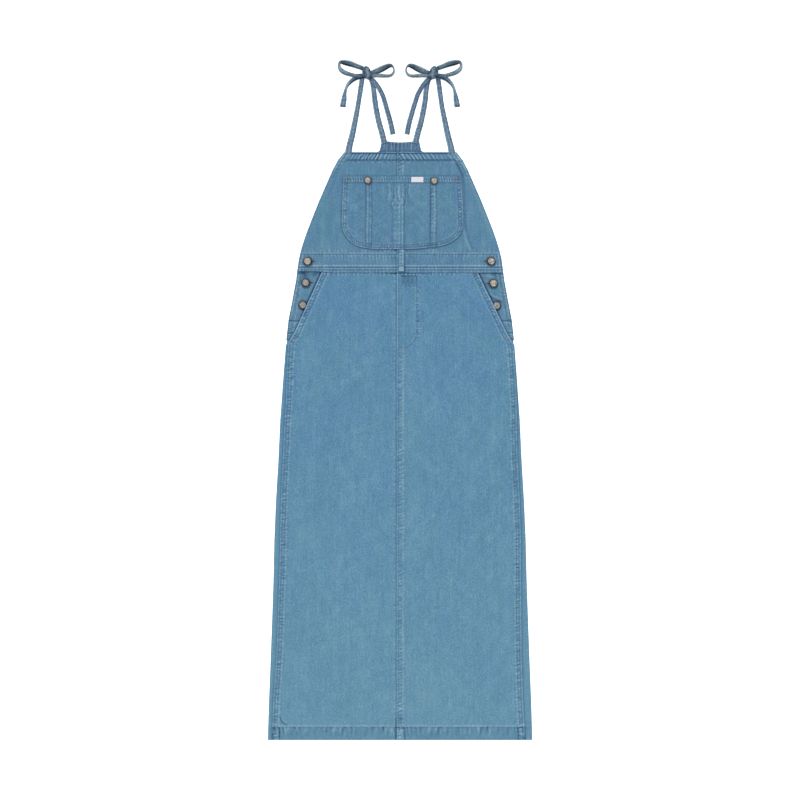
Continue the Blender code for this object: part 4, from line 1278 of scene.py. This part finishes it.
def build_bib_pocket():
    y_rows = spaced(299.8, 445, 1.8, ((299.8, 318, 0.8), (299.8, 301.4, 0.35), (430, 445, 0.95),
                                      (443.4, 445, FINE_STEP)))
    share = spaced(0, 1, 0.0057, ((0, 0.006, 0.002), (0.994, 1, 0.002)))
    y = np.repeat(y_rows[:, None], len(share), axis=1)
    left, right = read(POCKET_OUTLINE, y, 1), read(POCKET_OUTLINE, y, 2)
    x = left + share[None, :] * (right - left)
    cloth = Cloth("bib_pocket", x, y, POCKET_BASE + over_lap(x), WALL + 0.5 * smooth(430, 433, y))
    mark_pocket(cloth)
    piece = cloth.finish(denim_bib)
    stitch_pocket(cloth)


def build_label():
    """The small woven tape sewn into the pocket's top edge, left bare."""
    x, y = np.meshgrid(spaced(21.8, 46, 0.9), spaced(433.8, 444.2, 0.8))
    low = POCKET_BASE + WALL + SEAM_GAP + 0.25 * np.sin((x - 21.8) / 24.2 * np.pi)
    cloth = Cloth("pocket_label", x, y, low, 0.7)
    piece = cloth.finish(white_tape, 0.35, "_tape")


# ---- buttons
SHANK_PROFILE = (
    # radius, height
    (0, 3.25), (3, 3.2), (5, 3.1), (5.6, 3), (6.1, 3.3), (6.8, 3.9), (7.4, 4.05), (8, 3.8),
    (8.5, 3.1), (8.5, 2.4), (8.1, 1.9), (7, 1.6), (4, 1.4), (3.5, 1.1), (3.3, 0), (0, 0),
)
LOW_SHANK_PROFILE = (
    # radius, height
    (0, 2.3), (3, 2.25), (5, 2.15), (5.6, 2.05), (6.1, 2.3), (6.8, 2.8), (7.4, 2.9), (8, 2.7),
    (8.5, 2.1), (8.5, 1.7), (8.1, 1.3), (7, 1.1), (4, 1), (3.5, 0.8), (3.3, 0), (0, 0),
)
RIVET_PROFILE = (
    # radius, height
    (0, 2.25), (2.6, 2.2), (4.4, 2.05), (4.9, 1.9), (5.4, 2.15), (6, 2.55), (6.6, 2.5), (7.3, 2.1),
    (7.6, 1.5), (7.5, 0.8), (6.9, 0.2), (6.2, 0), (0, 0),
)
BUTTONS = (
    # node, x, y, height of the cloth beneath, profile, metal
    ("waist_button_left", *WAIST_BUTTONS[-1], WAISTBAND_BASE, SHANK_PROFILE, metal_shank),
    ("waist_button_right", *WAIST_BUTTONS[1], WAISTBAND_BASE, SHANK_PROFILE, metal_shank),
    ("side_button_upper_left", *UPPER_BUTTONS[-1], FACING_BASE, SHANK_PROFILE, metal_darker),
    ("side_button_upper_right", *UPPER_BUTTONS[1], FACING_BASE, SHANK_PROFILE, metal_shank),
    ("side_button_lower_left", *LOW_BUTTONS[-1], FACING_BASE, LOW_SHANK_PROFILE, metal_darker),
    ("side_button_lower_right", *LOW_BUTTONS[1], FACING_BASE, LOW_SHANK_PROFILE, metal_darker),
    ("rivet_button_left", *RIVETS[-1], POCKET_BASE, RIVET_PROFILE, metal_copper),
    ("rivet_button_right", *RIVETS[1], POCKET_BASE, RIVET_PROFILE, metal_brass),
)
BUTTON_STEPS = 44
# Painted shade: the pale face is set off towards the top and the outer side, so the lower and inner part of
# each rim shows darker.
RIM_SHADE = 0.4


def build_button(node, x, y, base, profile, metal):
    """A turned button with a dished face, a groove and a rolled rim."""
    ring = len(profile) - 2
    foot = base + WALL + SEAM_GAP
    widest = max(radius for radius, _ in profile)
    points = [(x, y, foot + profile[0][1])]
    reaches = [0]
    faces = []
    for step in range(BUTTON_STEPS):
        turn = 2 * math.pi * step / BUTTON_STEPS
        for radius, height in profile[1:-1]:
            across, up = radius * math.cos(turn), radius * math.sin(turn)
            points.append((x + across, y + up, foot + height))
            reaches.append(math.hypot(across - math.copysign(RIM_SHADE, x), up - RIM_SHADE) / widest)
    points.append((x, y, foot + profile[-1][1]))
    reaches.append(0)
    for step in range(BUTTON_STEPS):
        here, after = 1 + step * ring, 1 + ((step + 1) % BUTTON_STEPS) * ring
        faces.append((0, here, after))
        faces += [(here + row, here + row + 1, after + row + 1, after + row) for row in range(ring - 1)]
        faces.append((here + ring - 1, len(points) - 1, after + ring - 1))
    piece = new_piece(node + "_metal", points, faces, metal, check=False)
    add_point_values(piece, reaches, "reach")
    finish_piece(piece, node)


def build_buttonholes(band, facings):
    """A slot of dark thread standing for the slit's painted shadow, and a worked end beside each shank button.
    """
    places = ((*WAIST_BUTTONS[-1], 1, band), (*WAIST_BUTTONS[1], -1, band),
              (*UPPER_BUTTONS[-1], 1, facings[-1]), (*UPPER_BUTTONS[1], -1, facings[1]))
    for x, y, toward, cloth in places:
        # Dark thread laid along the slit: painted shadow of the opening.
        for row in (-0.45, 0.45):
            for step in range(5):
                slot_x = x + toward * (7.6 + 1.1 * step)
                dark_stitches.one(slot_x, y + row, cloth.height_at(slot_x, y) + SLOT_LIFT, 0, 2)
        for step in range(9):
            bar_x = x + toward * (9.8 + 0.85 * step)
            length = 7.4 - 0.74 * step
            for lean in (-1, 1):
                bar_y = y + lean * length / 3.6
                tan_stitches.one(bar_x, bar_y, cloth.height_at(bar_x, bar_y) + TACK_LIFT,
                                 toward * lean * 1.25, length / 2)


# ---- straps and bows
# Given for the left shoulder; the right one is their mirror image.
FRONT_STRAP = (
    # x, y, base, width
    (-104, 491.6, 3.4, 13), (-103.3, 497.5, 3.2, 12.6), (-101.2, 510.4, 1.4, 11.6),
    (-96.6, 530.4, 0.1, 11.2), (-91.1, 558.4, 0, 10.2), (-83.7, 598.4, 0, 9),
    (-80.2, 620, 0.2, 9.6), (-77, 640, 0.8, 9), (-74.6, 650, 0.8, 8),
)
BACK_STRAP = (
    # x, y, base, width
    (-30.2, 512, 1.2, 11.4), (-31.8, 520, 0.8, 11.2), (-35, 534.4, 0.1, 11),
    (-41.4, 558.4, 0, 10.6), (-49.5, 598.4, 0, 10.2), (-53.2, 622, 0, 9.4),
    (-56.6, 636, 0.4, 8.6), (-62.4, 648, 0.8, 8.2),
)
OUTER_TAIL = (
    # x, y, base, width
    (-73, 646.4, 1.6, 6.4), (-82, 644.4, 1.8, 7.8), (-92, 641, 1.8, 8.8),
    (-100.4, 633.6, 1.2, 7.6), (-106.2, 624.6, 0.4, 5.8), (-109.8, 615, 0.2, 6),
    (-113, 602, 0, 9.8), (-115, 584.8, 0, 11.2),
)
INNER_TAIL = (
    # x, y, base, width
    (-66.5, 645.6, 1.6, 8), (-57.4, 640, 1.8, 8.6), (-47.5, 629.4, 2, 8.6),
    (-38.3, 614, 1.6, 8.8), (-30.6, 597, 0.3, 9), (-18.4, 558.4, 0, 9.6),
    (-12.6, 530, 0, 10),
)
# How far each tie lies to the right of the mirrored tables: height, shift.
TIE_SHIFTS = {
    "front_strap_left": ((492, -0.4), (530, 0.4), (575, 0.7), (600, 0.3), (640, 0.1)),
    "front_strap_right": ((492, -1.2), (521, -2.2), (545, -2.4), (585, -3.1), (605, -2.3), (640, -1.6)),
    "back_strap_left": ((512, -2), (545, -2.7), (581, -2.7), (597, -1.8), (613, -1.2), (640, -0.6)),
    "back_strap_right": ((512, -0.4), (545, 0.4), (581, 0.5), (597, 0), (613, -1), (640, -1.3)),
    "bow_tail_inner_left": ((530, -2.4), (560, -2.8), (581, -2.3), (597, -1.4), (613, -0.1), (640, -0.4)),
    "bow_tail_inner_right": ((530, 0.2), (570, 0.4), (597, -0.3), (613, -1.6), (640, -1.4)),
    "bow_tail_outer_left": ((589, -0.7), (601, 0.3), (613, -0.9), (629, -2), (645, 0)),
    "bow_tail_outer_right": ((589, -1.4), (601, -2.1), (613, -1.2), (629, 0.2), (645, -1.2)),
    "bow_loop_inner_left": ((640, -0.4), (670, -0.4)),
    "bow_loop_inner_right": ((640, -1.3), (670, -1.3)),
    "bow_loop_outer_right": ((640, -1.3), (670, -1.3)),
    "bow_knot_right": ((640, -0.9), (670, -0.9)),
}
# Painted light and shade along a tie's route: share of the route, how light (+) or shaded (-).
FRONT_SHADE = ((0, 0), (0.8, 0), (1, -0.5))
BACK_SHADE = ((0, 0), (0.7, 0), (0.8, -0.4), (0.88, -1.3), (1, -1.8))
OUTER_TAIL_SHADE = ((0, -1.7), (0.2, -1.6), (0.36, -0.5), (0.48, 0.5), (0.62, 0.8), (0.72, -0.1), (0.84, 0),
                    (0.965, 0.1), (0.98, -1), (1, -1))
# Painted shade across a tie: how much darker its inner edge is than its outer one, by share of the route.
OUTER_TAIL_TILT = ((0, -0.6), (0.16, -1.6), (0.28, -2.8), (0.5, -2.8), (0.62, -0.8), (0.75, 0), (1, 0))
LOOP_TILT = ((0, -1.2), (0.1, -1.8), (0.36, -2), (0.44, -0.6), (0.6, 0.2), (0.78, 1.2), (1, 1.2))
# Painted light and shade along the inner tail: share of the route, how light (+) or shaded (-).
INNER_TAIL_SHADE = ((0, -1.6), (0.1, -0.9), (0.2, -0.4), (1, -0.15))
OUTER_LOOP = (
    # outer_x, outer_y, outer_base, inner_x, inner_y, inner_base
    (-74, 666.4, 3.2, -74, 656.8, 3), (-85, 670.8, 5.4, -88, 661.6, 2.8),
    (-98, 676.4, 6.6, -101, 665.4, 2.8), (-113.2, 678.8, 6.4, -113, 668.4, 3.8),
    (-122.2, 676.4, 5, -118.6, 670.4, 4.8), (-125.6, 668.4, 4, -119.8, 667.6, 5),
    (-124.2, 659.2, 2.6, -117.6, 663.2, 5.4), (-116.8, 651.4, 1.8, -110.4, 658.2, 5.6),
    (-105.2, 646.6, 2.6, -100.6, 654, 5.6), (-90, 643.8, 3, -89.6, 651.2, 4.8),
    (-76, 644, 3, -76, 651.6, 3.2),
)
INNER_LOOP = (
    # outer_x, outer_y, outer_base, inner_x, inner_y, inner_base
    (-63, 655, 3.2, -62, 648, 3), (-50, 661.6, 5, -45.6, 650.6, 2.8),
    (-38, 667, 6.6, -35, 655, 2.8), (-24.4, 671.6, 6.4, -24, 661, 3.8),
    (-15.4, 669.4, 5, -17.4, 663.6, 4.8), (-11.2, 661, 4, -14.8, 660, 5),
    (-11.8, 652, 2.6, -15.8, 654.4, 5.4), (-19.2, 644.6, 1.8, -21.6, 650.2, 5.6),
    (-33, 643.2, 2.6, -34, 650.4, 5.4), (-46.2, 643.6, 3, -46, 651, 4.8),
    (-62, 643, 3, -62, 650, 3.2),
)
# Painted light and shade along each bow loop: share of the route, how light (+) or shaded (-).
LOOP_SHADE = ((0, -1.3), (0.06, -0.2), (0.12, 0.1), (0.2, -0.3), (0.28, -1.1), (0.36, -1.1), (0.43, 0.3),
              (0.56, 0.9), (0.66, 0.7), (0.78, 0.2), (0.88, 0.1), (0.95, 0), (1, -0.8))
INNER_LOOP_SHADE = LOOP_SHADE[:9] + ((0.78, 0.4), (0.88, 0.5), (0.95, 0.1), (1, -0.6))
RIBBON_SECTION = (
    # share of the width, share of the thickness, painted light and shade: a highlight on the outer edge, shade
    # in the groove and on the inner edge
    (-0.50, 0.45, 0.3), (-0.46, 0.86, 0.7), (-0.36, 1, 0.7), (-0.24, 0.84, -0.35), (-0.1, 0.92, 0),
    (0.06, 0.96, 0.3), (0.2, 0.92, 0.1), (0.3, 0.84, -0.7), (0.40, 1, -0.1), (0.47, 0.86, -0.2),
    (0.50, 0.45, -0.7), (0.46, 0.06, -0.4), (0.2, 0, -0.3), (-0.2, 0, -0.3), (-0.46, 0.06, -0.3),
)
TIE_PUCKER, KNOT_PUCKER = 0.28, 0.4


def on_side(node, side, points):
    """A tie's points on its own side, moved sideways by its shift at their height."""
    points = points * (-side, 1, 1)
    if node in TIE_SHIFTS:
        points[:, 0] += read(TIE_SHIFTS[node], points[:, 1])
    return points


def sweep(node, centres, across, up, thick, looks, seed, shade, tilt):
    """A folded and stitched tie along a route, closed at both ends."""
    run = np.concatenate(([0], np.cumsum(np.linalg.norm(np.diff(centres, axis=0), axis=1))))
    wave = ripple(run, 8, seed)
    points, wear_and_shade = [], []
    for share, tall, lit_and_worn in RIBBON_SECTION:
        bulge = 1 + 0.16 * wave * (1 if share < 0 else -1) * (tall > 0.5)
        points.append(centres + share * across + (tall * thick * bulge)[:, None] * up)
        # The outer edge keeps most of its painted highlight where the route is shaded; the tilt paints shade
        # towards the inner edge.
        rim_share = 0.15 if share < -0.3 and tall > 0.4 else 1
        wear_and_shade.append(lit_and_worn * (1 + 0.5 * wave) + shade * rim_share + tilt * share)
    faces = tube_faces(len(centres), len(RIBBON_SECTION))
    piece = new_piece(node + "_tie", np.stack(points, axis=1).reshape(-1, 3), faces, looks)
    wear_and_shade = np.stack(wear_and_shade, axis=1).ravel()
    add_point_values(piece, wear_and_shade)
    add_point_values(piece, np.full(len(wear_and_shade), TIE_PUCKER), "pucker")
    turn_outwards(piece)
    return finish_piece(piece, node)


def turn_outwards(piece, merge=0):
    """Joins doubled points where asked, and turns a closed mesh's faces outwards."""
    shape = bmesh.new()
    shape.from_mesh(piece.data)
    if merge:
        bmesh.ops.remove_doubles(shape, verts=shape.verts, dist=merge)
    bmesh.ops.recalc_face_normals(shape, faces=shape.faces)
    shape.to_mesh(piece.data)
    shape.free()


def build_ribbon(node, table, side, flat, seed, shade, tilt=((0, 0),)):
    rows = curve_through(table, 120)
    rows[:, 2] = np.maximum(rows[:, 2], 0)
    centres = on_side(node, side, rows[:, :3])
    ahead = np.gradient(centres, axis=0)
    ahead[:, 2] = 0
    ahead /= np.linalg.norm(ahead, axis=1)[:, None]
    across = np.stack((ahead[:, 1], -ahead[:, 0], 0 * ahead[:, 0]), axis=1)
    across = across * (1 if table[-1][1] > table[0][1] else -1)
    slack = 1.08 + 0.04 * ripple(np.arange(len(rows)) * 1.3, 9, seed)
    thick = np.full(len(rows), 1.7) + 0.8 * smooth(8, 4, rows[:, 3])
    route = np.linspace(0, 1, len(rows))
    piece = sweep(node, centres, across * (rows[:, 3] * slack)[:, None], np.array((0, 0, 1)), thick,
                  denim_tie, seed, read(shade, route), -side * read(tilt, route))


def build_bow_loop(node, table, side, seed, shades):
    rows = curve_through(table, 130)
    outer, inner = on_side(node, side, rows[:, :3]), on_side(node, side, rows[:, 3:])
    centres = (outer + inner) / 2
    across = inner - outer
    up = np.cross(np.gradient(centres, axis=0), across)
    up /= np.linalg.norm(up, axis=1)[:, None]
    up *= np.sign(up[:, 2:3] + 1e-9)
    route = np.linspace(0, 1, len(rows))
    piece = sweep(node, centres, across, up, np.full(len(rows), 1.5), denim_bow, seed,
                  read(shades, route), read(LOOP_TILT, route))


KNOT_CENTRE = (-68, 652.8, 7.6)
KNOT_AROUND, KNOT_ALONG = 48, 26
KNOT_RIM = (
    # angle in degrees, reach across, reach up
    (0, 9.4, 0), (40, 7.6, 7.4), (75, 2.8, 13), (110, -3.6, 13.6), (145, -8.4, 7.6),
    (180, -8.6, 0), (215, -8, -6.6), (250, -3.8, -11.6), (285, 3.8, -14.4), (320, 10, -11.8),
    (360, 9.4, 0),
)


def knot_point(x, y, z, seed):
    """A point of the knot's skin, raised by the folds that run to the loops, and its painted light and shade.
    """
    folds = math.sin(0.5 * (x - 0.25 * y) + 0.9 * math.sin(0.3 * y + seed))
    finer = math.sin(1.1 * y + 0.5 * x)
    band = math.exp(-((x - 1.2 + 0.16 * y) / 3.4) ** 2)
    slot = math.exp(-((x - 6.6) / 2) ** 2 - ((y - 4) / 3.4) ** 2)
    lift = (0.5 * folds + 0.15 * finer - 0.9 * slot) * (1 if z > 0 else 0.2)
    outer = min(max((-x - 2) / 4, 0), 1)
    lower = min(max((-y - 5) / 5, 0), 1) * (1 - 0.7 * band)
    # Painted light and shade: light on the band and the folds' tops, dark in the slot, on the lower and outer
    # parts and in the folds' hollows.
    wear_and_shade = 0.2 * band + 0.45 * folds + 0.25 * finer - 1.5 * slot - 0.9 * lower - 0.7 * outer - 0.1
    return (KNOT_CENTRE[0] + x, KNOT_CENTRE[1] + y, KNOT_CENTRE[2] + z + lift - 0.5), wear_and_shade


def build_knot(node, side, seed):
    """The knot: the tie wrapped over itself, rounded between a rim and two poles."""
    rim = np.array(KNOT_RIM, dtype=float)
    turns = np.arange(KNOT_AROUND) * 360 / KNOT_AROUND
    reaches = [np.interp(turns, rim[:, 0], rim[:, column]) for column in (1, 2)]
    reach_x, reach_y = (0.5 * reach + 0.25 * (np.roll(reach, 2) + np.roll(reach, -2)) for reach in reaches)
    skin = []
    for ring in range(KNOT_ALONG + 1):
        polar = math.pi * ring / KNOT_ALONG
        flat = math.sin(polar) ** 0.7 if 0 < ring < KNOT_ALONG else 0
        z = 2.6 * math.copysign(abs(math.cos(polar)) ** 0.8, math.cos(polar))
        skin += [knot_point(x, y, z, seed) for x, y in zip(reach_x * flat, reach_y * flat)]
    points, wear_and_shade = zip(*skin)
    faces = tube_faces(KNOT_ALONG + 1, KNOT_AROUND, capped=False)
    piece = new_piece(node + "_cloth", on_side(node, side, np.array(points)), faces, denim_bow, check=False)
    add_point_values(piece, wear_and_shade)
    add_point_values(piece, np.full(len(wear_and_shade), KNOT_PUCKER), "pucker")
    turn_outwards(piece, 0.00001)
    finish_piece(piece, node)


RIBBONS = (
    # node, route, flat size, painted light and shade along it, tilt of that painted shade across it
    ("front_strap_", FRONT_STRAP, (0.022, 0.165), FRONT_SHADE),
    ("back_strap_", BACK_STRAP, (0.021, 0.144), BACK_SHADE),
    ("bow_tail_outer_", OUTER_TAIL, (0.019, 0.084), OUTER_TAIL_SHADE, OUTER_TAIL_TILT),
    ("bow_tail_inner_", INNER_TAIL, (0.021, 0.134), INNER_TAIL_SHADE),
)


def build_shoulder(word, side):
    """The straps, bow and tails over one shoulder."""
    for seed, (node, route, flat, *shades) in enumerate(RIBBONS, 1):
        build_ribbon(node + word, route, side, flat, seed + side, *shades)
    build_bow_loop("bow_loop_outer_" + word, OUTER_LOOP, side, 5 + side, LOOP_SHADE)
    build_bow_loop("bow_loop_inner_" + word, INNER_LOOP, side, 6 + side, INNER_LOOP_SHADE)
    build_knot("bow_knot_" + word, side, 0.4)


# ---- surroundings
FLOOR_REACH, FLOOR_Z = 6, -0.0004
SKY_STRENGTH = 0.645
SUN_STRENGTH, SUN_ANGLE, SUN_TURN = 1.61, 20, (-46, -18, 0)
LENS, SENSOR = 100, 36
FRAME_WIDTH = 1.6
CAMERA_X, CAMERA_Y = -0.0009, -0.0016
CAMERA_RISE = 0.004


def build_floor():
    mesh = bpy.data.meshes.new("floor")
    corners = ((-1, -1), (1, -1), (1, 1), (-1, 1))
    mesh.from_pydata([(x * FLOOR_REACH, y * FLOOR_REACH, FLOOR_Z) for x, y in corners], [], [(0, 1, 2, 3)])
    mesh.materials.append(floor_white())
    place_object("floor", mesh)


def build_lights():
    world = bpy.data.worlds.new("studio")
    bpy.context.scene.world = world
    world.use_nodes = True
    background = world.node_tree.nodes["Background"]
    background.inputs["Color"].default_value = (1, 1, 1, 1)
    background.inputs["Strength"].default_value = SKY_STRENGTH
    lamp = bpy.data.lights.new("soft_key", "SUN")
    lamp.energy = SUN_STRENGTH
    lamp.angle = math.radians(SUN_ANGLE)
    place_object("soft_key", lamp).rotation_euler = [math.radians(turn) for turn in SUN_TURN]


def build_camera():
    """Straight above the middle of the picture: 1.6 m of floor fills the frame."""
    data = bpy.data.cameras.new("camera")
    data.lens = LENS
    data.sensor_width = SENSOR
    camera = place_object("camera", data)
    camera.location = (CAMERA_X, CAMERA_Y, FRAME_WIDTH * data.lens / data.sensor_width + CAMERA_RISE)
    bpy.context.scene.camera = camera


SIDES = (("left", -1), ("right", 1))
build_skirt_back()
for word, side in SIDES:
    build_skirt_front(word, side)
side_facings = {side: build_side_facing(word, side) for word, side in SIDES}
build_waistband_back()
waistband = build_waistband()
build_waist_loop()
build_bib_back()
for word, side in SIDES:
    build_bib_front(word, side)
build_bib_pocket()
build_label()
for button in BUTTONS:
    build_button(*button)
build_buttonholes(waistband, side_facings)
for word, side in SIDES:
    build_shoulder(word, side)
for stitches in (pale_stitches, blue_stitches, tan_stitches, rust_stitches, dark_stitches):
    stitches.build()
build_floor()
build_lights()
build_camera()
bpy.context.scene.view_settings.view_transform = "Standard"
